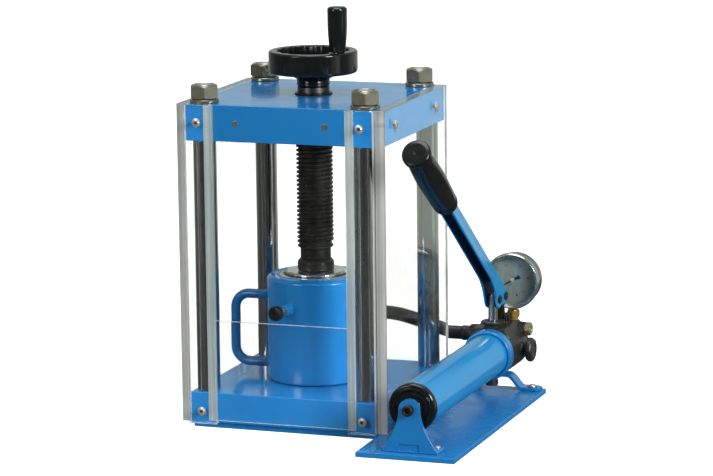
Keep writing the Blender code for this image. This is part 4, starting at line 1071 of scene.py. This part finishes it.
def build_head():
    back = HEAD_HIGH.y
    drum = [
        (0.0, HEAD_FRONT - 0.008), (0.0218, HEAD_FRONT - 0.008), (0.0218, HEAD_FRONT),
        (0.0285, HEAD_FRONT), (0.0285, back - 0.003, 0.002), (0.0255, back, 0.001), (0.0, back),
    ]
    along = Matrix.Translation((PUMP_X, 0.0, PUMP_Z)) @ toward((0, 0, 0), REAR)
    form = moved(lathe(drum, 96), along)
    side = 0.024
    chamfer = 0.008
    outline = [
        (PUMP_X - side, PUMP_Z - 0.004), (PUMP_X + side, PUMP_Z - 0.004),
        (PUMP_X + side, HEAD_TOP - chamfer * 1.3), (PUMP_X + side - chamfer, HEAD_TOP),
        (PUMP_X - side + 0.003, HEAD_TOP), (PUMP_X - side, HEAD_TOP - 0.003),
    ]
    lump = slab([(x, z) for x, z in outline], -(back - 0.002), -(HEAD_FRONT + 0.004), 0.0012)
    lump = moved(lump, Matrix.Rotation(math.radians(90.0), 4, "X"))
    form = combined(form, lump, "UNION")
    for sign in (-1, 1):
        x = PUMP_X + sign * 0.0078
        y, z = LINK_FOOT
        foot = HEAD_TOP - 0.003
        shape = [(y - 0.0065, foot), (y + 0.0065, foot), *arc((y, z), 0.0056, -10, 190, 16)]
        ear = slab(shape, x - 0.00175, x + 0.00175, 0.0003, 1)
        form = combined(form, moved(ear, YZ_TO_WORLD), "UNION")
    for reach, radius, spot in (
        (-0.0285, 0.0115, (0.150, 0.070)), (0.0265, 0.0083, (0.176, 0.0735)),
        (0.0308, 0.0082, (0.155, 0.0535)),
    ):
        start = (PUMP_X + reach / 2, spot[0], spot[1])
        half = abs(reach) / 2
        boss = lathe([(0.0, 0.0), (radius, 0.0), (radius, half, 0.0008), (0.0, half)], 64)
        form = combined(form, moved(boss, toward(start, RIGHT if reach > 0 else -RIGHT)), "UNION")
    form = drilled(form, 0.0058, (PUMP_X, PLUNGER_Y, HEAD_TOP), low=-0.03, steps=48)
    made = as_object(form)
    melt = made.modifiers.new("Melt", "REMESH")
    melt.mode = "VOXEL"
    melt.voxel_size = 0.00065
    ease = made.modifiers.new("Ease", "SMOOTH")
    ease.factor = 0.6
    ease.iterations = 5
    bpy.context.view_layer.update()
    form = worked(made)
    piece("head_casting", form, IDENTITY, "cast", ["pump_head"], sharp=70)


def build_plunger():
    low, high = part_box("plunger")
    tall = high.z - low.z
    rod = [
        (0.0, 0.0), (0.0055, 0.0, 0.0004), (0.0055, tall - 0.0008, 0.0005), (0.0046, tall, 0.0004),
        (0.0, tall),
    ]
    form = moved(lathe(rod, 72), toward((PUMP_X, PLUNGER_Y, low.z)))
    form = drilled(form, PIN_HOLE, (PUMP_X, PLUNGER_Y, PIN_Z), RIGHT)
    piece("plunger_rod", form, IDENTITY, "ram", ["plunger"], "plunger")
    gland = [
        (0.0058, HEAD_TOP - 0.0070), (0.0080, HEAD_TOP - 0.0070), (0.0080, HEAD_TOP + 0.0003),
        (0.0104, HEAD_TOP + 0.0003), (0.0104, HEAD_TOP + 0.0040, 0.0006),
        (0.0134, HEAD_TOP + 0.0046, 0.0006), (0.0142, HEAD_TOP + 0.0058, 0.0004),
        (0.0142, HEAD_TOP + 0.0070, 0.0004), (0.0130, HEAD_TOP + 0.0081, 0.0006),
        (0.0072, HEAD_TOP + 0.0078, 0.0006), (0.0058, HEAD_TOP + 0.0066),
    ]
    form = lathe(gland, 96, closed=True)
    piece("gland_flange", form, toward((PUMP_X, PLUNGER_Y, 0)), "cast", ["plunger_gland"])


def cross_pin(name, spot, half, body, node, radius=0.0050):
    thick = 0.0018
    profile = [
        (0.0, -half - thick), (0.0022, -half - thick, 0.0002),
        (0.0026, -half - thick + 0.0005, 0.0002), (0.0036, -half - thick + 0.0005, 0.0002),
        (0.0042, -half - thick, 0.0003), (radius, -half - thick + 0.0005, 0.0004),
        (radius, -half, 0.0002), (0.0030, -half), (0.0030, half), (radius, half, 0.0002),
        (radius, half + thick - 0.0005, 0.0004), (0.0042, half + thick, 0.0003),
        (0.0036, half + thick - 0.0005, 0.0002), (0.0026, half + thick - 0.0005, 0.0002),
        (0.0022, half + thick, 0.0002), (0.0, half + thick),
    ]
    turned(name, profile, 64, (PUMP_X, *spot), RIGHT, "oxide", [node], body)


def build_link():
    foot = Vector(LINK_FOOT)
    top = Vector((FULCRUM_Y, PIN_Z))
    slope = math.degrees(math.atan2(top.y - foot.y, top.x - foot.x))
    outline = arc(foot, 0.0052, slope + 90, slope + 270, 20)
    outline += arc(top, 0.0052, slope - 90, slope + 90, 20)
    form = moved(slab(outline, PUMP_X - 0.0045, PUMP_X + 0.0045, 0.0005), YZ_TO_WORLD)
    for spot in (foot, top):
        form = drilled(form, PIN_HOLE, (PUMP_X, spot.x, spot.y), RIGHT)
    piece("link_bar", form, IDENTITY, "oxide", ["fulcrum_link"])


RISE = math.radians(35.2)
LEVER_LENGTH = 0.353
LEVER_ROOF = 0.0085
LEVER_DEPTH = 0.015
LEVER_WALL = 0.002


def along_lever(forward, across=0.0):
    """World Y and Z of a point of the lever, from the fulcrum pin along and across its bar."""
    y = FULCRUM_Y - forward * math.cos(RISE) + across * math.sin(RISE)
    z = PIN_Z + forward * math.sin(RISE) + across * math.cos(RISE)
    return (y, z)


def build_lever():
    roof = LEVER_ROOF
    floor = roof - LEVER_DEPTH
    outline = [
        along_lever(LEVER_LENGTH - 0.012, floor),
        along_lever(LEVER_LENGTH - 0.012, roof),
        along_lever(0.070, roof),
        along_lever(0.052, roof + 0.0002),
        along_lever(0.040, roof + 0.0008),
        along_lever(0.028, roof + 0.0015),
        *arc((FULCRUM_Y, PIN_Z), 0.0078, 62, -70, 22), (PLUNGER_Y + 0.0175, PIN_Z - 0.0090),
        (PLUNGER_Y + 0.0125, PIN_Z - 0.0086), (PLUNGER_Y + 0.0086, PIN_Z - 0.0058),
        (PLUNGER_Y + 0.0066, PIN_Z - 0.0094), (PLUNGER_Y + 0.0036, PIN_Z - 0.0108),
        (PLUNGER_Y - 0.0010, PIN_Z - 0.0106), (PLUNGER_Y - 0.0050, PIN_Z - 0.0086),
        (PLUNGER_Y - 0.0080, PIN_Z - 0.0058), (PLUNGER_Y - 0.0100, PIN_Z - 0.0018),
        (PLUNGER_Y - 0.0112, PIN_Z + 0.0025),
        along_lever(0.040, floor - 0.0042),
        along_lever(0.050, floor - 0.0024),
        along_lever(0.058, floor - 0.0006),
        along_lever(0.066, floor),
    ]
    side = LEVER_WIDTH / 2
    form = moved(slab(outline, PUMP_X - side, PUMP_X + side, 0.0012, 4), YZ_TO_WORLD)
    hollow = [
        along_lever(LEVER_LENGTH + 0.01, floor - 0.02),
        along_lever(LEVER_LENGTH + 0.01, roof - LEVER_WALL),
        along_lever(0.024, roof - LEVER_WALL),
        along_lever(0.022, roof + 0.0200),
        (FULCRUM_Y + 0.0300, PIN_Z + 0.0300), (FULCRUM_Y + 0.0300, PIN_Z - 0.0300),
        (PLUNGER_Y - 0.0500, PIN_Z - 0.0300),
    ]
    half = LEVER_WIDTH / 2 - LEVER_WALL
    tool = moved(slab(hollow, PUMP_X - half, PUMP_X + half, 0), YZ_TO_WORLD)
    form = combined(form, tool, "DIFFERENCE")
    form = drilled(form, PIN_HOLE, (PUMP_X, FULCRUM_Y, PIN_Z), RIGHT)
    slot = arc((PLUNGER_Y - 0.0024, PIN_Z), 0.0039, 90, 270, 14)
    slot += arc((PLUNGER_Y + 0.0004, PIN_Z), 0.0039, -90, 90, 14)
    form = combined(form, moved(slab(slot, PUMP_X - 0.02, PUMP_X + 0.02, 0), YZ_TO_WORLD), "DIFFERENCE")
    # The lever's outside wears the lighter lit copy of the blue paint: painted light.
    made = piece("lever_channel", form, IDENTITY, "paint_light", ["pump_lever"], "lever", sharp=32)
    # Faces inside the channel take the near-black copy of the paint: painted shade.
    made.data.materials.append(LOOKS["paint_shade"].material)
    outward = Vector((0.0, math.sin(RISE), math.cos(RISE)))
    for face in made.data.polygons:
        if abs(face.center.x - PUMP_X) < half + 0.0002 and face.normal.dot(outward) < 0.5:
            face.material_index = 1


def build_lever_grip():
    length = 0.131

    def panelled(angle, r, h):
        share = max(0.0, min((h - 0.022) / 0.02, (length - 0.024 - h) / 0.02, 1.0))
        return r * (1.0 - 0.055 * share * (0.5 - 0.5 * math.cos(4 * angle))), h

    profile = [
        (0.0, 0.0), (0.0118, 0.0, 0.0008), (0.0132, 0.0014, 0.0008), (0.0140, 0.0034, 0.0008),
        (0.0133, 0.0050, 0.0006), (0.0133, 0.0058, 0.0006), (0.0146, 0.0074, 0.0008),
        (0.0146, 0.0100, 0.0008), (0.0137, 0.0116, 0.0006), (0.0137, 0.0126, 0.0006),
        (0.0146, 0.0150, 0.0010), (0.0152, 0.0240, 0.0030), (0.0163, 0.0420, 0.0080),
        (0.0169, 0.0600, 0.0080), (0.0168, 0.0760, 0.0080), (0.0160, 0.0930, 0.0060),
        (0.0146, 0.1080, 0.0030), (0.0140, 0.1136, 0.0010), (0.0146, 0.1146, 0.0005),
        (0.0146, 0.1156, 0.0004), (0.0141, 0.1164, 0.0004), (0.0141, 0.1172, 0.0004),
        (0.0150, 0.1182, 0.0005), (0.0150, 0.1194, 0.0004), (0.0145, 0.1202, 0.0004),
        (0.0145, 0.1210, 0.0004), (0.0162, 0.1226, 0.0008), (0.0165, 0.1280, 0.0012),
        (0.0152, 0.1304, 0.0012), (0.0110, length, 0.0010), (0.0020, length, 0.0003),
        (0.0012, length - 0.0010, 0.0003), (0.0, length - 0.0010),
    ]
    direction = Vector((0.0, -math.cos(RISE), math.sin(RISE)))
    start = along_lever(LEVER_LENGTH - length + 0.020, LEVER_ROOF - LEVER_DEPTH / 2)
    pose = toward((PUMP_X, *start), direction)
    piece("lever_handle", lathe(profile, 128, shape=panelled), pose, "grip", ["lever_grip"], "lever")


# Gauge

GAUGE = middle("gauge_case")
GAUGE_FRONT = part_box("gauge_case")[0].y


def build_gauge():
    front = Vector((GAUGE.x, GAUGE_FRONT, GAUGE.z))
    case = [
        (0.0, 0.0120), (0.0300, 0.0120), (0.0300, 0.0068), (0.0313, 0.0068, 0.0003),
        (0.0315, 0.0080, 0.0005), (0.0315, 0.0254, 0.0020), (0.0290, 0.0290, 0.0015), (0.0, 0.0290),
    ]
    turned("gauge_can", case, 144, front, REAR, "case", ["gauge_case"])
    bezel = [
        (0.0318, 0.0066), (0.0335, 0.0062, 0.0004), (0.0335, 0.0018, 0.0010), (0.0320, 0.0, 0.0008),
        (0.0313, 0.0, 0.0006), (0.0303, 0.0022, 0.0004), (0.0298, 0.0026, 0.0003),
        (0.0289, 0.0026, 0.0003), (0.0283, 0.0040, 0.0003), (0.0283, 0.0058), (0.0302, 0.0066),
    ]
    turned("gauge_rim", bezel, 144, front, REAR, "bezel", closed=True)
    lens = [(0.0, 0.0062), (0.0282, 0.0062), (0.0282, 0.0044, 0.0003), (0.0, 0.0041)]
    turned("gauge_window", lens, 144, front, REAR, "glass", ["gauge_lens"])
    step = [
        (0.0282, 0.0066), (0.0298, 0.0066), (0.0298, 0.0105), (0.0278, 0.0105),
        (0.0278, 0.0080, 0.0004),
    ]
    turned("gauge_flange", step, 144, front, REAR, "dial", closed=True)
    dial = [(0.0, 0.0117), (0.0297, 0.0117), (0.0297, 0.0107), (0.0, 0.0107)]
    turned("gauge_plate", dial, 144, front, REAR, "dial", ["gauge_dial"])
    build_dial_marks(front + REAR * 0.01065)
    build_needle(front + REAR * 0.0090)
    stopper = lathe([(0.0, 0.0), (0.0011, 0.0), (0.0009, 0.0010, 0.0002), (0.0, 0.0012)], 24)
    spot = front + REAR * 0.0107 + Vector((0.0046, 0.0, -0.0178))
    piece("gauge_stop", stopper, toward(spot, OPERATOR), "gloss_black")
    build_gauge_stem()


def dial_point(angle, radius):
    """Local X and Z on the dial, clockwise from the low end of the scale, seen by the operator."""
    turn = math.radians(225.0 - angle)
    return radius * math.cos(turn), radius * math.sin(turn)


def build_dial_marks(centre):
    form = bmesh.new()
    for tick in range(51):
        angle = 270.0 * tick / 50
        major = tick % 5 == 0
        inner = 0.0226 if major else 0.0242
        half = 0.00022 if major else 0.00011
        along = Vector(dial_point(angle, 1.0))
        across = Vector((-along.y, along.x))
        corners = [along * inner - across * half, along * inner + across * half]
        corners += [along * 0.0260 + across * half, along * 0.0260 - across * half]
        near = [form.verts.new((c.x, -0.00006, c.y)) for c in corners]
        far = [form.verts.new((c.x, 0.0, c.y)) for c in corners]
        form.faces.new(near)
        form.faces.new(list(reversed(far)))
        for index in range(4):
            beside = (index + 1) % 4
            form.faces.new((near[index], far[index], far[beside], near[beside]))
    spot = Matrix.Translation(centre)
    piece("gauge_ticks", form, spot, "dial_ink")
    for index in range(6):
        text = bpy.data.curves.new("number", "FONT")
        text.body = str(index * 10)
        text.size = 0.0046
        text.align_x = "CENTER"
        text.align_y = "CENTER"
        text.extrude = 0.00003
        text.resolution_u = 4
        written = bpy.data.objects.new("number", text)
        SCENE.collection.objects.link(written)
        bpy.context.view_layer.update()
        form = worked(written)
        x, z = dial_point(54.0 * index, 0.0190)
        pose = Matrix.Translation(centre + Vector((x, -0.00003, z)))
        pose = pose @ Matrix.Rotation(math.radians(90), 4, "X")
        piece(f"gauge_number_{index}", form, pose, "dial_ink")


def build_needle(centre):
    outline = [(-0.0003, 0.0200), (0.0003, 0.0200), (0.0006, 0.0060), (0.0008, -0.0026)]
    outline += [(0.0010, -0.0045), (0.0026, -0.0094), (0.0024, -0.0100), (-0.0024, -0.0100)]
    outline += [(-0.0026, -0.0094), (-0.0010, -0.0045), (-0.0008, -0.0026), (-0.0006, 0.0060)]
    form = slab([(-x, y) for x, y in reversed(outline)], 0.0, 0.0005, 0.0001, 1)
    turn = Matrix.Rotation(math.radians(-118.0), 4, "Y") @ Matrix.Rotation(math.radians(90), 4, "X")
    pose = Matrix.Translation(centre) @ turn
    piece("needle_blade", form, pose, "gloss_black", ["gauge_needle"], "needle")
    profile = [
        (0.0, -0.0012), (0.0027, -0.0012), (0.0027, 0.0010, 0.0004), (0.0022, 0.0018, 0.0006),
        (0.0, 0.0022),
    ]
    hub = lathe(profile, 48)
    piece("needle_hub", hub, toward(centre, OPERATOR), "screw", body="needle")


def build_gauge_stem():
    low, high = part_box("gauge_stem")
    spot = middle("gauge_stem")
    tall = high.z - low.z

    def flats(angle, r, h):
        if 0.0040 <= h <= 0.0124 and r > 0.0070:
            return hexagon(angle, 0.0140), h
        return r, h

    profile = [
        (0.0, 0.0), (0.0050, 0.0), (0.0055, 0.0006, 0.0003), (0.0055, 0.0034, 0.0003),
        (0.0068, 0.0038), (0.0075, 0.0044), (0.0075, 0.0116), (0.0068, 0.0122),
        (0.0046, 0.0128, 0.0003), (0.0042, 0.0134, 0.0003), (0.0045, 0.0140, 0.0003),
        (0.0045, tall + 0.0008), (0.0, tall + 0.0008),
    ]
    form = lathe(profile, 120, shape=flats)
    piece("stem_fitting", form, toward((spot.x, spot.y, low.z), UP, 10), "brass", ["gauge_stem"])


# Valves and feet


def build_valves():
    low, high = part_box("release_valve")
    spot = middle("release_valve")
    reach = high.x - low.x

    def lobed(angle, r, h):
        if r > 0.0118:
            return r - 0.0006 * (0.5 - 0.5 * math.cos(8 * angle)), h
        return r, h

    profile = [
        (0.0, 0.0), (0.0040, 0.0, 0.0003), (0.0040, 0.0162), (0.0058, 0.0164, 0.0003),
        (0.0062, 0.0176, 0.0006), (0.0064, 0.0188, 0.0010), (0.0095, 0.0200, 0.0020),
        (0.0130, 0.0204, 0.0010), (0.0145, 0.0222, 0.0008), (0.0145, reach - 0.0030, 0.0010),
        (0.0128, reach - 0.0004, 0.0012), (0.0080, reach, 0.0010), (0.0060, reach - 0.0008, 0.0006),
        (0.0, reach - 0.0008),
    ]
    pose = toward((low.x, spot.y, spot.z), RIGHT)
    piece("release_knob", lathe(profile, 144, shape=lobed), pose, "cast", ["release_valve"], "release")
    low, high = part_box("outlet_plug")
    spot = middle("outlet_plug")
    tall = high.x - low.x
    face = 0.0066
    slope = math.tan(math.radians(30.0))

    def sides(angle, r, h):
        if r < 0.0069:
            return r, h
        wide = hexagon(angle, 0.0140)
        return wide, (tall - (wide - face) * slope if h > tall / 2 else h)

    plug = [
        (0.0, 0.0), (0.0070, 0.0), (0.0070, tall), (face, tall), (0.0040, tall, 0.0003),
        (0.0036, tall - 0.0008), (0.0, tall - 0.0008),
    ]
    pose = toward((low.x, spot.y, spot.z), RIGHT, 8)
    piece("plug_head", lathe(plug, 144, shape=sides), pose, "olive_brass", ["outlet_plug"], sharp=22)


def bell_half(height, top):
    return 0.012 + 0.021 * (1.0 - height / top) ** 1.8


def build_bracket():
    low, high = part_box("front_bracket")
    foot = low.z
    top = PUMP_Z - foot
    thick = 0.004
    heights = [top * step / 28 for step in range(29)]
    right = [(bell_half(height, top), height) for height in heights[:-1]]
    left = [(-half, height) for half, height in reversed(right)]
    outline = right + arc((0.0, top), 0.012, 0, 180, 28) + left
    form = slab(outline, 0.0, thick, 0.0006)
    stand = Matrix.Translation((PUMP_X, low.y + thick, foot))
    stand = stand @ Matrix.Rotation(math.radians(90), 4, "X")
    form = moved(form, stand)
    flange = block((low.x, low.y + 0.0008, foot), (high.x, high.y, foot + thick), 0.0012, 4)
    form = combined(form, flange, "UNION")
    form = drilled(form, 0.0043, (PUMP_X, low.y, PUMP_Z), OPERATOR, steps=48)
    window_low = (PUMP_X - 0.0115, low.y - 0.002, foot + 0.0012)
    window_high = (PUMP_X + 0.0115, low.y + 0.0012, foot + 0.0092)
    window = block(window_low, window_high, 0.0007, 2)
    form = combined(form, window, "DIFFERENCE")
    piece("bracket_sheet", form, IDENTITY, "paint", ["front_bracket"], sharp=30)
    front = low.y - 0.0003
    bolt = [
        (0.0, -0.0160), (0.0040, -0.0160, 0.0004), (0.0040, 0.0), (0.0061, 0.0),
        (0.0061, 0.0062, 0.0004), (0.0055, 0.0070, 0.0004), (0.0038, 0.0070, 0.0002),
        (0.0030, 0.0064), (0.0030, 0.0034), (0.0, 0.0034),
    ]
    form = lathe(bolt, 120, shape=six_sided(0.0030, 0.0060))
    pose = toward((PUMP_X, front, PUMP_Z), OPERATOR, 11)
    piece("bracket_cap_screw", form, pose, "oxide", ["bracket_bolt"])
    for side, sign in (("left", -1), ("right", 1)):
        spot = (PUMP_X + sign * 0.0270, high.y - 0.0055, foot + thick)
        socket_screw("bracket_screw_" + side, spot, UP, 0.0036, 0.0020, 0.0022)


def strap_height(x, arch):
    """The strap's underside: flat under the head, an easy S down to the base, then flat."""
    t = min(1.0, max(0.0, (abs(x) - 0.0125) / 0.0175))
    return arch * (1 - t * t * (3 - 2 * t))


def build_rear_foot():
    low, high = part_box("rear_foot")
    arch = PUMP_Z - 0.0285 - 0.0003 - 0.004 - low.z
    half = high.x - PUMP_X
    wide = (high.y - low.y) / 2
    thick = 0.0040
    soft = 0.0007
    form = bmesh.new()
    rows = []
    steps = 120
    for step in range(steps + 1):
        x = half * math.sin(math.pi * (step / steps - 0.5))
        past = max(0.0, abs(x) - (half - wide)) / wide
        across = max(0.0006, wide * math.sqrt(max(0.0, 1.0 - past * past)))
        rise = (strap_height(x + 0.0005, arch) - strap_height(x - 0.0005, arch)) / 0.001
        lean = Vector((-rise, 1.0)).normalized()
        base = Vector((x, strap_height(x, arch)))
        edge = min(soft, across * 0.5)
        section = [
            (-across, edge), (-across + edge * 0.3, edge * 0.3), (-across + edge, 0.0),
            (across - edge, 0.0), (across - edge * 0.3, edge * 0.3), (across, edge),
            (across, thick - edge), (across - edge * 0.3, thick - edge * 0.3),
            (across - edge, thick), (-across + edge, thick),
            (-across + edge * 0.3, thick - edge * 0.3), (-across, thick - edge),
        ]
        spots = [(base.x + lean.x * up, y, base.y + lean.y * up) for y, up in section]
        rows.append([form.verts.new(spot) for spot in spots])
    middle_y = (low.y + high.y) / 2
    pose = Matrix.Translation((PUMP_X, middle_y, low.z))
    piece("rear_strap", skinned(form, rows), pose, "paint", ["rear_foot"], sharp=40)
    for side, sign in (("left", -1), ("right", 1)):
        spot = (PUMP_X + sign * 0.0420, middle_y, low.z + thick)
        socket_screw("strap_screw_" + side, spot, UP, 0.0048, 0.0028, 0.0030, twist=10)
        rim = [(0.0030, 0.0001), (0.0062, 0.0001), (0.0062, 0.0009, 0.0003), (0.0030, 0.0009)]
        turned("strap_washer_" + side, rim, 64, spot, UP, "nickel", closed=True)
    plug = [
        (0.0, 0.0), (0.0078, 0.0, 0.0008), (0.0078, 0.0060, 0.0008), (0.0066, 0.0072),
        (0.0066, 0.0160), (0.0, 0.0160),
    ]
    spot = (PUMP_X - 0.002, 0.1310, PUMP_Z - 0.0400)
    turned("head_drain_plug", plug, 64, spot, UP, "cast")


# Stage and light

# What vertical metal mirrors, by compass bearing from the rear: the room's colour at that bearing.
ROOM = (
    (-180.0, (0.035, 0.036, 0.034)), (-158.0, (0.050, 0.052, 0.050)),
    (-140.0, (0.150, 0.155, 0.150)), (-126.0, (0.045, 0.046, 0.042)),
    (-100.0, (0.080, 0.080, 0.072)), (-70.0, (0.200, 0.205, 0.195)), (-35.0, (0.380, 0.430, 0.375)),
    (0.0, (0.540, 0.630, 0.540)), (40.0, (0.460, 0.520, 0.460)), (66.0, (0.110, 0.100, 0.085)),
    (84.0, (0.060, 0.052, 0.044)), (91.0, (0.900, 0.890, 0.840)), (97.0, (0.760, 0.750, 0.700)),
    (102.0, (0.380, 0.375, 0.330)), (108.0, (0.420, 0.410, 0.370)), (116.0, (0.030, 0.028, 0.026)),
    (140.0, (0.055, 0.050, 0.046)), (156.0, (0.030, 0.030, 0.030)),
)
# What lies below and above the room's walls, by the height of the direction: where the change
# starts and ends, how it eases, the mix sockets of its colour and of the rest, and the colour.
LEVELS = (
    (-0.200, -0.180, "LINEAR", "A", "B", (0.075, 0.075, 0.072)),
    (0.16, 0.55, "SMOOTHSTEP", "B", "A", (0.23, 0.25, 0.23)),
    (0.90, 0.96, "LINEAR", "B", "A", (4.0, 4.0, 4.0)),
)


def build_stage():
    form = bmesh.new()
    bmesh.ops.create_grid(form, x_segments=1, y_segments=1, size=9.0)
    mesh = bpy.data.meshes.new("floor")
    form.to_mesh(mesh)
    form.free()
    floor = bpy.data.objects.new("floor", mesh)
    floor.location.z = BASE_LOW.z - 0.0004
    SCENE.collection.objects.link(floor)
    look = Surface("floor", (0.42, 0.42, 0.42), 0.6)
    look.vary_roughness(look.noise(2.0), 0.55, 0.7)
    look.set("Specular IOR Level", 0.0)
    look.set("Emission Color", (1.0, 1.0, 1.0, 1.0))
    look.set("Emission Strength", 1.2)
    path = add_node(look.tree, "LightPath")
    plain = add_node(look.tree, "BsdfDiffuse", Color=(0.30, 0.30, 0.30, 1.0))
    clear = add_node(look.tree, "BsdfTransparent")
    first = [
        ("Fac", path.outputs["Diffuse Depth"]),
        (1, look.shader.outputs["BSDF"]),
        (2, plain.outputs["BSDF"]),
    ]
    dull = add_node(look.tree, "MixShader", first)
    second = [
        ("Fac", path.outputs["Glossy Depth"]),
        (1, dull.outputs["Shader"]),
        (2, clear.outputs["BSDF"]),
    ]
    pick = add_node(look.tree, "MixShader", second)
    look.join(pick.outputs["Shader"], look.tree.nodes["Material Output"].inputs["Surface"])
    mesh.materials.append(look.material)


def softbox(name, spot, aim, side, energy):
    data = bpy.data.lights.new(name, "AREA")
    data.shape = "RECTANGLE"
    data.size = side
    data.size_y = side
    data.energy = energy
    made = bpy.data.objects.new(name, data)
    made.location = spot
    made.rotation_euler = (Vector(aim) - Vector(spot)).to_track_quat("-Z", "Y").to_euler()
    made.visible_camera = False
    SCENE.collection.objects.link(made)


def once(tree, count):
    """1 for a path that has scattered that way at all, else 0."""
    step = add_node(tree, "Math", [(0, count)], [("operation", "MINIMUM")])
    step.inputs[1].default_value = 1.0
    return step.outputs["Value"]


def room_ramp(tree, bearing):
    """The colours of ROOM by bearing, in radians from the rear."""
    span = {"From Min": -math.pi, "From Max": math.pi}
    turn = add_node(tree, "MapRange", [("Value", bearing)], **span)
    ramp = add_node(tree, "ValToRGB", [("Fac", turn.outputs["Result"])])
    ramp.color_ramp.interpolation = "EASE"
    stops = ramp.color_ramp.elements
    while len(stops) > 1:
        stops.remove(stops[-1])
    stops[0].position = 0.0
    stops[0].color = (*ROOM[0][1], 1.0)
    for degrees, colour in ROOM[1:]:
        stops.new((degrees + 180.0) / 360.0).color = (*colour, 1.0)
    return ramp.outputs["Color"]


def build_light():
    """A white studio: what is seen is white, and what shines back off the press is a dark room
    with a pale rear wall, a pale ceiling and a few upright pale strips."""
    world = bpy.data.worlds.new("studio")
    SCENE.world = world
    world.use_nodes = True
    tree = world.node_tree
    place = add_node(tree, "TexCoord")
    split = add_node(tree, "SeparateXYZ", [("Vector", place.outputs["Generated"])])
    sides = [(0, split.outputs["X"]), (1, split.outputs["Y"])]
    around = add_node(tree, "Math", sides, [("operation", "ARCTAN2")])
    colour = room_ramp(tree, around.outputs["Value"])
    for low, high, ease, far, near, level in LEVELS:
        span = {"From Min": low, "From Max": high}
        height = [("Value", split.outputs["Z"])]
        step = add_node(tree, "MapRange", height, [("interpolation_type", ease)], **span)
        links = [("Factor", step.outputs["Result"]), (near, colour)]
        mix = add_node(tree, "Mix", links, [("data_type", "RGBA")], **{far: (*level, 1.0)})
        colour = mix.outputs["Result"]
    white = (1.0, 1.0, 1.0, 1.0)
    mirrored = add_node(tree, "Background", [("Color", colour)])
    ambient = add_node(tree, "Background", Color=white, Strength=0.34)
    seen = add_node(tree, "Background", Color=white, Strength=1.55)
    path = add_node(tree, "LightPath")
    first = [
        ("Fac", once(tree, path.outputs["Glossy Depth"])),
        (1, seen.outputs["Background"]),
        (2, mirrored.outputs["Background"]),
    ]
    reflect = add_node(tree, "MixShader", first)
    second = [
        ("Fac", once(tree, path.outputs["Diffuse Depth"])),
        (1, reflect.outputs["Shader"]),
        (2, ambient.outputs["Background"]),
    ]
    final = add_node(tree, "MixShader", second)
    tree.links.new(final.outputs["Shader"], tree.nodes["World Output"].inputs["Surface"])
    aim = (0.05, 0.0, 0.2)
    softbox("key", (2.3, -1.2, 1.25), aim, 0.8, 62.0)
    softbox("fill", (-1.2, -2.4, 1.0), aim, 0.9, 15.0)
    softbox("overhead", (-0.1, -0.3, 2.2), aim, 1.1, 6.0)
    SCENE.view_settings.view_transform = "Standard"


build_hose()
build_plates()
build_bush()
build_columns()
build_nuts()
build_guard()
build_screw()
build_handwheel()
build_crank()
build_jack()
build_carry_handle()
build_bleed_screw()
build_reservoir()
build_head()
build_plunger()
cross_pin("plunger_cross_pin", (PLUNGER_Y, PIN_Z), CHEEK, "plunger", "plunger_pin")
cross_pin("fulcrum_cross_pin", (FULCRUM_Y, PIN_Z), CHEEK, "lever", "fulcrum_pin")
cross_pin("link_cross_pin", LINK_FOOT, 0.0099, "frame", "link_pin")
build_link()
build_lever()
build_lever_grip()
build_gauge()
build_valves()
build_bracket()
build_rear_foot()
build_stage()
build_light()
